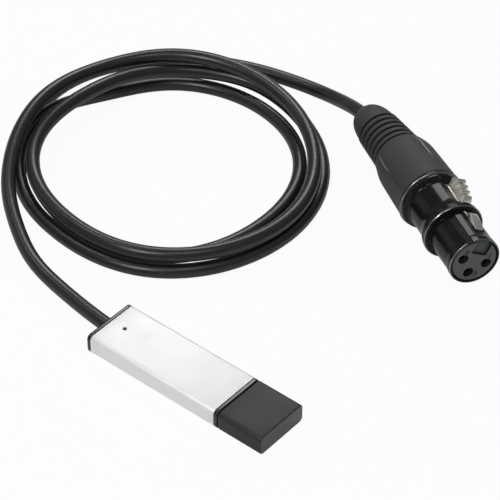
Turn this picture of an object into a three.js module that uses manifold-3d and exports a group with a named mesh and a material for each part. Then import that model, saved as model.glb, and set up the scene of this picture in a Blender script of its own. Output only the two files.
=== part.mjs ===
// A USB to DMX interface: a small USB dongle, a cable that lies in a round pile of loops, and a
// three-socket XLR cable connector with its push latch.
// Millimetres, +Z up. The origin is under the middle of the dongle, whose plug points along +X.

import * as THREE from 'three';
import { mergeVertices } from 'three/addons/utils/BufferGeometryUtils.js';
import Module from 'manifold-3d';

const wasm = await Module();
wasm.setup();

// Clearances shared by all pieces
const fitGap = 0.3;
const seamGap = 0.1;
const overrun = 1;

// Cable
const cableDiameter = 4.4;
const cableRadius = cableDiameter / 2;
const coreDiameter = 0.9;

// Dongle
const dongle = {
  width: 18,
  height: 6.3,
  corner: 1.5,
  endPlate: 1.2,
  sleeveLength: 45.3,
  sleeveWall: 0.6,
  capRoom: 1.7,
  capWall: 1.2,
  capEnd: 1.6,
  edgeRound: 0.25,
  cheekLength: 2,
  collarCheekLength: 3,
  lightHole: 1.1,
  lightHoleFromRear: 5,
};
// USB plug
const plug = {
  sideRoom: 3,
  height: 4.5,
  corner: 0.5,
  wall: 0.3,
  reach: 12,
  tailInside: 6.8,
  windowLength: 2.5,
  windowWidth: 2,
  windowFromTip: 6.4,
  windowSpacing: 5.6,
  tongueThickness: 1.9,
  tongueRecess: 1.2,
  shoulderLength: 4.4,
  contactWidth: 1,
  contactThickness: 0.2,
  innerContactShare: 1 / 12,
  outerContactShare: 7 / 24,
  contactRecess: 1.4,
};

// Places along the dongle, which is centred with its cap on
const capLength = plug.reach + dongle.capRoom + dongle.capEnd - fitGap;
const dongleLength = 2 * dongle.endPlate + dongle.sleeveLength + fitGap + capLength;
const rearX = -dongleLength / 2;
const sleeveRearX = rearX + dongle.endPlate;
const sleeveFrontX = sleeveRearX + dongle.sleeveLength;
const collarFrontX = sleeveFrontX + dongle.endPlate;
const capRearX = collarFrontX + fitGap;
const capFrontX = capRearX + capLength;
const plugTipX = collarFrontX + plug.reach;
const plugRearX = collarFrontX - plug.tailInside;
const plugWidth = dongle.width - 2 * plug.sideRoom;
const midZ = dongle.height / 2;

// Circuit board and the parts on it
const board = {
  thickness: 1,
  underside: 0.8,
  corner: 1,
  startFromPlate: 3.3,
  padLength: 2.2,
};
const boardBottomZ = dongle.sleeveWall + board.underside;
const boardTopZ = boardBottomZ + board.thickness;
const boardRearX = sleeveRearX + board.startFromPlate;
const boardFrontX = plugRearX - fitGap;
const partZ = boardTopZ + seamGap;

// XLR connector: stations run from its face, along its axis, towards the cable
const xlr = {
  faceX: 35.15,
  faceY: 82.12,
  heading: -28.35,
  roll: -26.5,
  rimRadius: 7.9,
  rimLength: 2,
  rimChamfer: 0.2,
  barrelRadius: 7.7,
  barrelStart: 3.2,
  ringStart: 13.6,
  ringRadius: 9.45,
  ringLength: 2.8,
  bodyStart: 19,
  bodyRadius: 8.24,
  bodyEnd: 27.3,
  collarStart: 28.5,
  collarRim: 0.6,
  collarStep: 0.45,
  collarGroove: 0.4,
  collarRadius: 10.2,
  shellLength: 30.4,
  bore: 7.2,
  rearBore: 8.1,
  rearBoreDepth: 3.8,
  keywayWidth: 2,
  keywayDepth: 0.3,
  keywayAngle: 40,
};

const insert = {
  recess: 0.1,
  rear: 26.2,
  notchWidth: 5.2,
  notchFloor: 2.45,
  notchDepth: 0.8,
  channelFloor: 4.9,
  pitchRadius: 4.1,
  lip: 1.2,
  mouthRadius: 1.5,
};

const socket = {
  radius: 1.4,
  bore: 1.1,
  boreDepth: 14,
  cupRadius: 1.3,
  cupBore: 0.8,
  cupLength: 4.6,
  cupDepth: 3.6,
};

const latch = {
  width: 3.2,
  underside: 7,
  thickness: 1,
  hookTip: 5.2,
  hookTipHeight: 0.9,
  hookPeak: 9.4,
  hookHeight: 2.6,
  hookFlat: 1.4,
  tabFront: 15.3,
  tabRear: 24.7,
  tabRearHeight: 3.6,
  tabFrontHeight: 2.1,
  teeth: 4,
  toothFrontShare: 0.7,
  toothRiseShare: 1.5,
  tailEnd: 26.6,
  slotStart: 4.2,
  windowStart: 14.8,
  tunnelRoof: 8.4,
  springThickness: 0.3,
  springWidth: 2.4,
  springEnd: 25.4,
  springCrest: 22.4,
  springFront: 17.4,
};

// Boot that screws into the shell
const boot = {
  frontRadius: 10,
  shoulderRadius: 9.45,
  shoulderStart: 45.5,
  waistStart: 55,
  waistRadius: 7.6,
  grooveStart: 52.2,
  groovePitch: 2.4,
  grooves: 6,
  grooveWidth: 1,
  grooveDepth: 0.9,
  ribEndRadius: 6.8,
  noseStart: 65.6,
  noseRadius: 6.5,
  noseEnd: 74,
  noseBulge: 6.1,
  noseLip: 0.3,
  noseBack: 0.8,
  flatDistance: 8.7,
  neckLength: 3.4,
  cavityRadius: 6.5,
  cavityTaperStart: 43,
  cavityTaperEnd: 51,
  cavityEndRadius: 3.7,
  bendStart: 50,
  tailShift: 1.55,
};

const chuck = {
  front: 37.5,
  rear: 50,
  slotWidth: 1,
  slotEnd: 47,
  slots: 3,
};
const jacketEnd = 36.5;

// Coil: its radius is a mean radius times a share for each eighth of a turn, from an eighth before 0
const sharesPerTurn = 8;
const coil = {
  centreX: -69.07,
  centreY: 65.95,
  meanRadius: 45,
  firstTurn: -0.11,
  lastTurn: 3.3,
  zeroAngle: 220.05,
  layerPitch: 5,
};
const coilRadiusShares = [
  1.24, 0.998, 0.907, 0.917, 0.932, 1.011, 1.107, 1.081,
  0.939, 0.885, 0.722, 0.852, 1.001, 1.076, 1.121, 1.117,
  0.994, 0.99, 0.85, 0.895, 0.898, 0.927, 0.931, 0.978,
  0.882, 0.906, 1.129, 1.18, 1.197, 1.289,
];
// The strand comes up onto the pile and goes down from it between these turns
const climbShares = [-0.2, -0.02];
const descentShares = [1.32, 1.47];
// Where a strand rides over others: turn, half width in turns, layers gained
const humpShares = [
  [0.05, 0.16, 0.95],
  [0.27, 0.32, 1.1],
  [1.12, 0.2, 1.02],
  [2.06, 0.14, 1.25],
];

// Materials
const paint = (color, roughness, metalness) =>
  new THREE.MeshStandardMaterial({ color, roughness, metalness });
const aluminium = paint(0xe6e8ea, 0.38, 0.9);
const glossBlack = paint(0x1a1a1c, 0.25, 0);
const capBlack = paint(0x4a4a4c, 0.45, 0);
const steel = paint(0xc9ccd0, 0.3, 0.95);
const whitePlastic = paint(0xe9e7e0, 0.55, 0);
const bronze = paint(0xd4a94e, 0.3, 1);
const boardGreen = paint(0x1f5a35, 0.5, 0.1);
const chipBlack = paint(0x222224, 0.6, 0);
const ceramic = paint(0xb79a72, 0.6, 0);
const lampWhite = paint(0xf2efe0, 0.3, 0);
const cableBlack = paint(0x1c1c1e, 0.4, 0);
const rubberGrey = paint(0x3c3c3e, 0.8, 0);
const shellBlack = paint(0x111113, 0.18, 0.6);
const insertGrey = paint(0x2c2c2e, 0.6, 0);
const silver = paint(0xc4c2ba, 0.35, 0.9);
const coreColors = [0xb8322a, 0xe8e6df, 0x2f6d3a];

// Solid helpers
function welded(geometry) {
  const bare = geometry.clone();
  bare.deleteAttribute('normal');
  bare.deleteAttribute('uv');
  const merged = mergeVertices(bare);
  const corners = merged.index.array;
  const kept = [];
  for (let i = 0; i < corners.length; i += 3) {
    const [a, b, c] = [corners[i], corners[i + 1], corners[i + 2]];
    if (a !== b && b !== c && c !== a) kept.push(a, b, c);
  }
  merged.setIndex(kept);
  return merged;
}

function toSolid(geometry) {
  const closed = welded(geometry);
  const vertProperties = new Float32Array(closed.attributes.position.array);
  const triVerts = new Uint32Array(closed.index.array);
  return new wasm.Manifold(new wasm.Mesh({ numProp: 3, vertProperties, triVerts }));
}

function toGeometry(solid) {
  const mesh = solid.getMesh();
  const geometry = new THREE.BufferGeometry();
  geometry.setAttribute('position', new THREE.Float32BufferAttribute(mesh.vertProperties, 3));
  geometry.setIndex([...mesh.triVerts]);
  return geometry;
}

function join(base, ...others) {
  return toGeometry(others.reduce((sum, other) => sum.add(toSolid(other)), toSolid(base)));
}

function cut(base, ...tools) {
  return toGeometry(tools.reduce((rest, tool) => rest.subtract(toSolid(tool)), toSolid(base)));
}

// Box between two limits on each axis
function block([x0, x1], [y0, y1], [z0, z1]) {
  const box = new THREE.BoxGeometry(x1 - x0, y1 - y0, z1 - z0);
  return box.translate((x0 + x1) / 2, (y0 + y1) / 2, (z0 + z1) / 2);
}

function roundedOutline(width, height, corner) {
  const [x, y] = [width / 2 - corner, height / 2 - corner];
  const outline = new THREE.Shape();
  outline.absarc(x, y, corner, 0, Math.PI / 2);
  outline.absarc(-x, y, corner, Math.PI / 2, Math.PI);
  outline.absarc(-x, -y, corner, Math.PI, 1.5 * Math.PI);
  outline.absarc(x, -y, corner, 1.5 * Math.PI, 2 * Math.PI);
  outline.closePath();
  return outline;
}

// Outline drawn across X and pushed along X, centred on the dongle's axis
const acrossX = new THREE.Matrix4().makeBasis(
  new THREE.Vector3(0, 1, 0), new THREE.Vector3(0, 0, 1), new THREE.Vector3(1, 0, 0));

function prism(outline, from, to, round = 0) {
  const geometry = new THREE.ExtrudeGeometry(outline, {
    depth: to - from - 2 * round,
    bevelEnabled: round > 0,
    bevelThickness: round,
    bevelSize: round,
    bevelOffset: -round,
    bevelSegments: 2,
    curveSegments: 5,
  });
  return geometry.applyMatrix4(acrossX).translate(from + round, 0, midZ);
}

function rodAlongX(radius, from, to, y, z, sides = 20) {
  const rod = new THREE.CylinderGeometry(radius, radius, to - from, sides);
  return rod.rotateZ(-Math.PI / 2).translate((from + to) / 2, y, z);
}

// Solid of revolution about the connector's axis, from [radius, station] pairs read from the rear
function turned(profile, segments) {
  const points = profile.map(([radius, station]) => new THREE.Vector2(radius, -station));
  return new THREE.LatheGeometry(points, segments).rotateX(Math.PI / 2);
}

// Side view of [station, height] pairs, pushed across the connector to a width
function sideways(profile, width) {
  const outline = new THREE.Shape(profile.map(([s, height]) => new THREE.Vector2(s, height)));
  const geometry = new THREE.ExtrudeGeometry(outline, { depth: width, bevelEnabled: false });
  return geometry.translate(0, 0, -width / 2).rotateY(Math.PI / 2);
}

// Box in the connector's frame: across, up and station limits
function connectorBlock(across, up, [near, far]) {
  return block(across, up, [-far, -near]);
}

function piece(name, geometry, material) {
  const mesh = new THREE.Mesh(geometry, material);
  mesh.name = name;
  geometry.computeVertexNormals();
  return mesh;
}

function smooth(value, from, to) {
  const share = Math.min(1, Math.max(0, (value - from) / (to - from)));
  return share * share * (3 - 2 * share);
}

// Dongle
const sleeveWidthInside = dongle.width - 2 * dongle.sleeveWall;
const boardHalfWidth = sleeveWidthInside / 2 - fitGap;
const sleeveHeightInside = dongle.height - 2 * dongle.sleeveWall;
const dongleOutline = () => roundedOutline(dongle.width, dongle.height, dongle.corner);
const cheekOutline = () => roundedOutline(
  sleeveWidthInside - 2 * fitGap, sleeveHeightInside - 2 * fitGap, dongle.corner - dongle.sleeveWall);

function caseSleeve() {
  const outline = dongleOutline();
  outline.holes.push(roundedOutline(
    sleeveWidthInside, sleeveHeightInside, dongle.corner - dongle.sleeveWall));
  const tube = prism(outline, sleeveRearX + seamGap, sleeveFrontX - seamGap);
  const holeDepth = dongle.sleeveWall + 2 * overrun;
  const hole = new THREE.CylinderGeometry(dongle.lightHole / 2, dongle.lightHole / 2, holeDepth, 16);
  hole.rotateX(Math.PI / 2);
  hole.translate(sleeveRearX + dongle.lightHoleFromRear, 0, dongle.height - dongle.sleeveWall / 2);
  return piece('case_sleeve', cut(tube, hole), aluminium);
}

function rearEndCap() {
  const plate = prism(dongleOutline(), rearX, sleeveRearX, dongle.edgeRound);
  const cheeks = prism(
    cheekOutline(), sleeveRearX - dongle.endPlate / 2, sleeveRearX + dongle.cheekLength);
  const bore = rodAlongX(
    cableRadius + fitGap, rearX - overrun, sleeveRearX + dongle.cheekLength + overrun, 0, midZ, 24);
  return piece('rear_end_cap', cut(join(plate, cheeks), bore), glossBlack);
}

function frontCollar() {
  const plate = prism(dongleOutline(), sleeveFrontX, collarFrontX, dongle.edgeRound);
  const cheeks = prism(
    cheekOutline(), sleeveFrontX - dongle.collarCheekLength, collarFrontX - dongle.endPlate / 2);
  const slot = prism(
    roundedOutline(plugWidth + 2 * fitGap, plug.height + 2 * fitGap, plug.corner + fitGap),
    sleeveFrontX - dongle.collarCheekLength - overrun, collarFrontX + overrun);
  return piece('front_collar', cut(join(plate, cheeks), slot), glossBlack);
}

function usbCap() {
  const cavityHeight = plug.height + 2 * fitGap;
  const cavityWidth = dongle.width - 2 * dongle.capWall;
  const outer = prism(dongleOutline(), capRearX, capFrontX, dongle.edgeRound);
  const cavity = prism(
    roundedOutline(cavityWidth, cavityHeight, dongle.corner - dongle.sleeveWall),
    capRearX - overrun, capFrontX - dongle.capEnd);
  const ribRoot = cavityWidth / 2 + dongle.capWall / 2;
  const ribInner = plugWidth / 2 + fitGap;
  const ribHalf = dongle.capWall / 2;
  const ribs = [-1, 1].map((sign) => block(
    [capRearX + dongle.capWall, capFrontX - dongle.capEnd / 2],
    [sign * ribInner, sign * ribRoot].sort((a, b) => a - b),
    [midZ - ribHalf, midZ + ribHalf]));
  return piece('usb_cap', join(cut(outer, cavity), ...ribs), capBlack);
}

function plugShell() {
  const outline = roundedOutline(plugWidth, plug.height, plug.corner);
  outline.holes.push(roundedOutline(
    plugWidth - 2 * plug.wall, plug.height - 2 * plug.wall, plug.corner - plug.wall / 2));
  const tube = prism(outline, plugRearX, plugTipX);
  const middle = plugTipX - plug.windowFromTip;
  const windows = [-1, 1].map((sign) => {
    const y = sign * plug.windowSpacing / 2;
    return block(
      [middle - plug.windowLength / 2, middle + plug.windowLength / 2],
      [y - plug.windowWidth / 2, y + plug.windowWidth / 2],
      [-overrun, dongle.height + overrun]);
  });
  return piece('usb_plug_shell', cut(tube, ...windows), steel);
}

const tongueBottomZ = midZ - plug.height / 2 + plug.wall + seamGap;
const tongueTopZ = tongueBottomZ + plug.tongueThickness;

function plugTongue() {
  const halfWidth = plugWidth / 2 - plug.wall - seamGap;
  const roofZ = midZ + plug.height / 2 - plug.wall - seamGap;
  const rear = plugRearX + seamGap;
  const tongue = block(
    [rear, plugTipX - plug.tongueRecess], [-halfWidth, halfWidth], [tongueBottomZ, tongueTopZ]);
  const inner = plug.outerContactShare * plugWidth + plug.contactWidth / 2 + fitGap;
  const shoulders = [[-halfWidth, -inner], [inner, halfWidth]].map((limits) => block(
    [rear, rear + plug.shoulderLength], limits, [tongueTopZ - plug.contactThickness, roofZ]));
  return piece('usb_tongue', join(tongue, ...shoulders), whitePlastic);
}

const outerContactY = plug.outerContactShare * plugWidth;
const innerContactY = plug.innerContactShare * plugWidth;

function plugContact(index) {
  const places = [-outerContactY, -innerContactY, innerContactY, outerContactY];
  const runZ = tongueTopZ + seamGap;
  const t = plug.contactThickness;
  const shorter = Math.abs(places[index]) < outerContactY ? plug.contactWidth : 0;
  const front = plugTipX - plug.tongueRecess - plug.contactRecess - shorter;
  const bendFront = boardFrontX;
  const bendRear = boardFrontX - plug.contactWidth;
  const tail = boardFrontX - plug.contactWidth - board.padLength;
  const outline = new THREE.Shape([
    [tail, partZ], [bendRear, partZ], [bendFront, runZ], [front, runZ],
    [front, runZ + t], [bendFront - t / 2, runZ + t], [bendRear - t / 2, partZ + t], [tail, partZ + t],
  ].map(([x, z]) => new THREE.Vector2(x, z)));
  const strip = new THREE.ExtrudeGeometry(outline, { depth: plug.contactWidth, bevelEnabled: false });
  strip.rotateX(Math.PI / 2).translate(0, places[index] + plug.contactWidth / 2, 0);
  return piece(`usb_contact_${index + 1}`, strip, bronze);
}

function circuitBoard() {
  const outline = roundedOutline(boardFrontX - boardRearX, 2 * boardHalfWidth, board.corner);
  const plate = new THREE.ExtrudeGeometry(
    outline, { depth: board.thickness, bevelEnabled: false, curveSegments: 3 });
  plate.translate((boardFrontX + boardRearX) / 2, 0, boardBottomZ);
  return piece('circuit_board', plate, boardGreen);
}

// Chip with legs on two or four sides
function chip(name, centre, size, legs) {
  const [length, width, height] = size;
  const body = block(
    [-length / 2, length / 2], [-width / 2, width / 2], [0, height]);
  const legHeight = height / 2;
  const parts = [];
  const sides = [[0, width, length], [Math.PI, width, length]];
  if (legs.fourSides) sides.push([Math.PI / 2, length, width], [-Math.PI / 2, length, width]);
  for (const [turn, depth, span] of sides) {
    for (let i = 0; i < legs.count; i += 1) {
      const x = (i - (legs.count - 1) / 2) * legs.pitch;
      if (Math.abs(x) > span / 2) continue;
      const reach = depth / 2 + legs.reach;
      const shape = new THREE.Shape([
        [depth / 2 - legs.reach / 2, legHeight], [depth / 2 + legs.reach / 3, legHeight],
        [depth / 2 + legs.reach / 2, 0], [reach, 0],
        [reach, legs.thickness], [depth / 2 + legs.reach / 2 + legs.thickness, legs.thickness],
        [depth / 2 + legs.reach / 3 + legs.thickness, legHeight + legs.thickness],
        [depth / 2 - legs.reach / 2, legHeight + legs.thickness],
      ].map(([y, z]) => new THREE.Vector2(y, z)));
      const leg = new THREE.ExtrudeGeometry(shape, { depth: legs.width, bevelEnabled: false });
      leg.applyMatrix4(acrossX).translate(x - legs.width / 2, 0, 0).rotateZ(turn);
      parts.push(leg);
    }
  }
  const whole = join(body, ...parts).translate(centre[0], centre[1], partZ);
  return piece(name, whole, chipBlack);
}

const bridgeChip = {
  place: [-12.5, 0],
  size: [7, 7, 1.4],
  legs: { count: 8, pitch: 0.8, width: 0.35, reach: 1, thickness: 0.15, fourSides: true },
};
const driverChip = {
  place: [1.5, 0],
  size: [4.9, 3.9, 1.5],
  legs: { count: 4, pitch: 1.27, width: 0.42, reach: 1, thickness: 0.2, fourSides: false },
};

// Crystal can, capacitors and resistors: length, width and height; station along the board, the
// side that it lies on and how far in from that edge
const crystalCan = { spot: [-4.5, 1, 2.5], size: [5, 3.2, 1.1], corner: 0.6 };
const capacitorSize = [2, 1.25, 0.8];
const resistorSize = [1.6, 0.8, 0.45];
const capacitorSpots = [[-4.5, -1, 2.3], [-1.2, -1, 2.3], [6, 1, 2.5]];
const resistorSpots = [[-19.5, -1, 1.7], [-19.5, 1, 1.7], [1.5, -1, 2.3]];
const cornerPinch = 0.1;
const onBoard = ([x, side, fromEdge]) => [x, side * (boardHalfWidth - fromEdge), partZ];

function crystal() {
  const [length, width, height] = crystalCan.size;
  const can = new THREE.ExtrudeGeometry(
    roundedOutline(length, width, crystalCan.corner),
    { depth: height, bevelEnabled: false, curveSegments: 4 });
  can.translate(...onBoard(crystalCan.spot));
  return piece('crystal', can, steel);
}

// Small block with end caps a little wider than its middle
function chipComponent(name, spot, [length, width, height], material) {
  const middle = block(
    [-length / 2, length / 2],
    [-width / 2 + cornerPinch, width / 2 - cornerPinch], [0, height - cornerPinch]);
  const ends = [-1, 1].map((sign) => block(
    [sign * length / 2, sign * length / 4].sort((a, b) => a - b),
    [-width / 2, width / 2], [0, height]));
  return piece(name, join(middle, ...ends).translate(...onBoard(spot)), material);
}

const lamp = { length: 2, width: 1.25, height: 0.6, lens: 0.5 };

function statusLamp() {
  const x = sleeveRearX + dongle.lightHoleFromRear;
  const base = block(
    [x - lamp.length / 2, x + lamp.length / 2],
    [-lamp.width / 2, lamp.width / 2], [partZ, partZ + lamp.height]);
  const lens = new THREE.SphereGeometry(lamp.lens, 12, 8).translate(x, 0, partZ + lamp.height);
  return piece('status_led', join(base, lens), lampWhite);
}

// Core of the cable between two ends, leaving each along its own direction
function core(name, points, color) {
  const path = new THREE.CatmullRomCurve3(points.map(([x, y, z]) => new THREE.Vector3(x, y, z)));
  const section = new THREE.Shape().absarc(0, 0, coreDiameter / 2, 0, 2 * Math.PI);
  const wire = new THREE.ExtrudeGeometry(
    section, { steps: 10, curveSegments: 8, extrudePath: path, bevelEnabled: false });
  return piece(name, wire, paint(color, 0.5, 0));
}

const jacketEndX = sleeveRearX + dongle.cheekLength + seamGap;
const coreSpread = 1.1;
const boardWires = { padShares: [-0.62, 0.36, 0.69], fanShare: 0.7, restShare: 0.75 };

function boardWire(index) {
  const side = [-1, 0, 1][index];
  const startX = jacketEndX + fitGap;
  const restZ = partZ + boardWires.restShare * coreDiameter;
  const startZ = midZ + (side === 0 ? coreSpread : 0);
  const padY = boardWires.padShares[index] * boardHalfWidth;
  const padX = boardRearX + dongle.lightHoleFromRear;
  return core(`board_wire_${index + 1}`, [
    [startX, side * coreSpread, startZ],
    [startX + coreDiameter, side * coreSpread + padY / 8, startZ],
    [(startX + padX) / 2, padY * boardWires.fanShare, restZ + coreDiameter / 2],
    [padX - coreDiameter, padY, restZ],
    [padX, padY, restZ],
  ], coreColors[index]);
}

// XLR connector
function shellProfile() {
  const { bore, rearBore, shellLength, rearBoreDepth } = xlr;
  const ringBack = xlr.ringStart + xlr.ringLength;
  const ringRound = (xlr.ringRadius - xlr.barrelRadius) / 3;
  const collarRise = xlr.collarStart - xlr.bodyEnd;
  const collarRound = (xlr.collarRadius - xlr.bodyRadius) / 6;
  const rimRadius = xlr.collarRadius - xlr.collarStep;
  const rimBack = xlr.collarStart + xlr.collarRim;
  return [
    [rearBore, shellLength],
    [xlr.collarRadius - collarRound, shellLength],
    [xlr.collarRadius, shellLength - collarRound],
    [xlr.collarRadius, rimBack + xlr.collarGroove],
    [rimRadius - xlr.collarGroove, rimBack + xlr.collarGroove / 2],
    [rimRadius, rimBack],
    [rimRadius, xlr.collarStart],
    [xlr.bodyRadius + collarRound, xlr.bodyEnd + collarRise / 2],
    [xlr.bodyRadius, xlr.bodyEnd],
    [xlr.bodyRadius, xlr.bodyStart],
    [xlr.ringRadius - ringRound, ringBack],
    [xlr.ringRadius, ringBack - ringRound],
    [xlr.ringRadius, xlr.ringStart + ringRound],
    [xlr.ringRadius - ringRound, xlr.ringStart],
    [xlr.barrelRadius, xlr.ringStart],
    [xlr.barrelRadius, xlr.barrelStart],
    [xlr.rimRadius, xlr.rimLength],
    [xlr.rimRadius, xlr.rimChamfer],
    [xlr.rimRadius - xlr.rimChamfer, 0],
    [bore, 0],
    [bore, shellLength - rearBoreDepth - (rearBore - bore)],
    [rearBore, shellLength - rearBoreDepth],
    [rearBore, shellLength],
  ];
}

function xlrShell() {
  const halfSlot = latch.width / 2 + fitGap;
  const slotFloor = xlr.bore - overrun;
  const slotEnd = latch.tailEnd + fitGap;
  const hookSlot = connectorBlock(
    [-halfSlot, halfSlot], [slotFloor, xlr.ringRadius + overrun], [latch.slotStart, xlr.ringStart]);
  const tunnel = connectorBlock(
    [-halfSlot, halfSlot], [slotFloor, latch.tunnelRoof], [xlr.ringStart - overrun, slotEnd]);
  const tabWindow = connectorBlock(
    [-halfSlot, halfSlot], [slotFloor, xlr.collarRadius + overrun],
    [latch.windowStart, latch.tabRear + 2 * fitGap]);
  const keyway = connectorBlock(
    [-xlr.keywayWidth / 2, xlr.keywayWidth / 2],
    [xlr.barrelRadius - xlr.keywayDepth, xlr.rimRadius + overrun],
    [-overrun, xlr.ringStart - seamGap]);
  keyway.rotateZ(THREE.MathUtils.degToRad(xlr.keywayAngle));
  const body = turned(shellProfile(), 48);
  return piece('xlr_shell', cut(body, hookSlot, tunnel, tabWindow, keyway), shellBlack);
}

const insertRadius = xlr.bore - fitGap;
const socketPlaces = [
  [insert.pitchRadius, 0],
  [-insert.pitchRadius, 0],
  [0, -insert.pitchRadius],
];

function xlrInsert() {
  const body = turned([
    [0, insert.rear], [insertRadius, insert.rear], [insertRadius, insert.recess], [0, insert.recess],
  ], 40);
  const halfNotch = insert.notchWidth / 2;
  const notch = connectorBlock(
    [-halfNotch, halfNotch], [insert.notchFloor, insertRadius + overrun],
    [insert.recess - overrun, insert.recess + insert.notchDepth]);
  const channel = connectorBlock(
    [-halfNotch, halfNotch], [insert.channelFloor, insertRadius + overrun],
    [latch.slotStart, insert.rear + overrun]);
  const hole = socket.radius + fitGap;
  const holes = socketPlaces.map(([x, y]) => turned([
    [0, insert.rear + overrun],
    [hole, insert.rear + overrun],
    [hole, insert.recess + insert.lip],
    [insert.mouthRadius, insert.recess + insert.lip],
    [insert.mouthRadius, insert.recess - overrun],
    [0, insert.recess - overrun],
  ], 16).translate(x, y, 0));
  return piece('xlr_insert', cut(body, notch, channel, ...holes), insertGrey);
}

const socketFront = insert.recess + insert.lip + fitGap;

function xlrSocket(index) {
  const rear = insert.rear + socket.cupLength;
  const body = turned([
    [0, rear - socket.cupDepth],
    [socket.cupBore, rear - socket.cupDepth],
    [socket.cupBore, rear],
    [socket.cupRadius, rear],
    [socket.cupRadius, insert.rear],
    [socket.radius, insert.rear - fitGap],
    [socket.radius, socketFront],
    [socket.bore, socketFront],
    [socket.bore, socketFront + socket.boreDepth],
    [0, socketFront + socket.boreDepth],
  ], 14);
  const open = connectorBlock(
    [-socket.radius, socket.radius], [0, socket.radius + overrun],
    [rear - socket.cupDepth + socket.cupBore, rear + overrun]);
  const [x, y] = socketPlaces[index];
  return piece(`xlr_socket_${index + 1}`, cut(body, open).translate(x, y, 0), bronze);
}

// Lever in side view: a flat strip with the hook in front and a toothed tab behind
function latchLever() {
  const base = latch.underside;
  const top = base + latch.thickness;
  const toothPitch = (latch.tabRear - latch.tabFront) / (latch.teeth + 1);
  const toothRise = (latch.tabRearHeight - latch.tabFrontHeight) / latch.teeth;
  const profile = [
    [latch.tailEnd, base],
    [latch.hookTip, base],
    [latch.hookTip, base + latch.hookTipHeight],
    [latch.hookPeak, base + latch.hookHeight],
    [latch.hookPeak + latch.hookFlat, base + latch.hookHeight],
    [latch.hookPeak + latch.hookFlat, top],
    [latch.tabFront, top],
    [latch.tabFront, top + latch.tabFrontHeight],
  ];
  for (let tooth = 0; tooth < latch.teeth; tooth += 1) {
    const s = latch.tabFront + tooth * toothPitch;
    const climb = (tooth + 1) * toothRise * latch.toothRiseShare;
    const peak = top + latch.tabFrontHeight + toothRise / 2 + climb;
    profile.push([s + toothPitch * latch.toothFrontShare, peak + toothRise]);
    if (tooth < latch.teeth - 1) profile.push([s + toothPitch, peak + toothRise / 4]);
  }
  profile.push([latch.tabRear, top + latch.tabRearHeight]);
  profile.push([latch.tabRear, top]);
  profile.push([latch.tailEnd, top]);
  return piece('latch_lever', sideways(profile, latch.width), silver);
}

function latchSpring() {
  const floor = insert.channelFloor + seamGap;
  const t = latch.springThickness;
  const crest = latch.underside - fitGap - t;
  const near = floor + t / 2;
  const profile = [
    [latch.springEnd, floor], [latch.springEnd, floor + t],
    [latch.springEnd - 3 * t, floor + t], [latch.springCrest + t, crest + t],
    [latch.springCrest - t, crest + t], [latch.springFront, near + t],
    [latch.springFront, near], [latch.springCrest - t, crest],
    [latch.springCrest + t, crest], [latch.springEnd - 3 * t, floor],
  ];
  return piece('latch_spring', sideways(profile, latch.springWidth), steel);
}

// Sideways lean of the flexible tail, which follows the pull of the cable
function lean(station) {
  const share = (station - boot.bendStart) / (boot.noseEnd - boot.bendStart);
  return -boot.tailShift * Math.max(0, share);
}

function leaned(geometry) {
  const position = geometry.attributes.position;
  for (let i = 0; i < position.count; i += 1) {
    position.setX(i, position.getX(i) + lean(-position.getZ(i)));
  }
  return geometry;
}

function bootRadius(station) {
  const { shoulderStart, waistStart, noseStart } = boot;
  if (station < shoulderStart) {
    const share = (station - xlr.shellLength) / (shoulderStart - xlr.shellLength);
    return THREE.MathUtils.lerp(boot.frontRadius, boot.shoulderRadius, share);
  }
  if (station < waistStart) {
    const share = smooth(station, shoulderStart, waistStart);
    return THREE.MathUtils.lerp(boot.shoulderRadius, boot.waistRadius, share);
  }
  const share = (station - waistStart) / (noseStart - waistStart);
  return THREE.MathUtils.lerp(boot.waistRadius, boot.ribEndRadius, share);
}

const bootFront = xlr.shellLength + fitGap;
const bootNeckFront = bootFront - boot.neckLength;
const bootBore = cableRadius + fitGap;

function bootOutside() {
  const nose = new THREE.QuadraticBezierCurve(
    new THREE.Vector2(bootBore + boot.noseLip, boot.noseEnd),
    new THREE.Vector2(boot.noseBulge, boot.noseEnd - boot.noseBack),
    new THREE.Vector2(boot.noseRadius, boot.noseStart));
  const points = nose.getPoints(5).map((point) => [point.x, point.y]);
  points.push([bootRadius(boot.noseStart), boot.noseStart - fitGap]);
  const half = boot.grooveWidth / 2;
  for (let groove = boot.grooves - 1; groove >= 0; groove -= 1) {
    const s = boot.grooveStart + groove * boot.groovePitch;
    const floor = bootRadius(s) - boot.grooveDepth;
    points.push([bootRadius(s + half), s + half], [floor, s + half / 2]);
    points.push([floor, s - half / 2], [bootRadius(s - half), s - half]);
  }
  const shoulderSteps = 5;
  const frontRib = boot.grooveStart - boot.grooveWidth;
  for (let step = 0; step <= shoulderSteps; step += 1) {
    const s = THREE.MathUtils.lerp(frontRib, boot.shoulderStart, step / shoulderSteps);
    points.push([bootRadius(s), s]);
  }
  points.push([boot.frontRadius, bootFront + fitGap], [boot.frontRadius - fitGap, bootFront]);
  return points;
}

function xlrBoot() {
  const neck = xlr.rearBore - fitGap;
  const profile = [
    [bootBore, boot.noseEnd],
    ...bootOutside(),
    [neck, bootFront],
    [neck, bootNeckFront],
    [boot.cavityRadius, bootNeckFront],
    [boot.cavityRadius, boot.cavityTaperStart],
    [boot.cavityEndRadius, boot.cavityTaperEnd],
    [bootBore, boot.cavityTaperEnd],
    [bootBore, boot.noseEnd],
  ];
  const outer = boot.frontRadius + overrun;
  const flats = [-1, 1].map((sign) => connectorBlock(
    [sign * boot.flatDistance, sign * outer].sort((a, b) => a - b),
    [-outer, outer], [bootFront - overrun, boot.noseEnd]));
  return piece('xlr_boot', leaned(cut(turned(profile, 40), ...flats)), rubberGrey);
}

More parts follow.
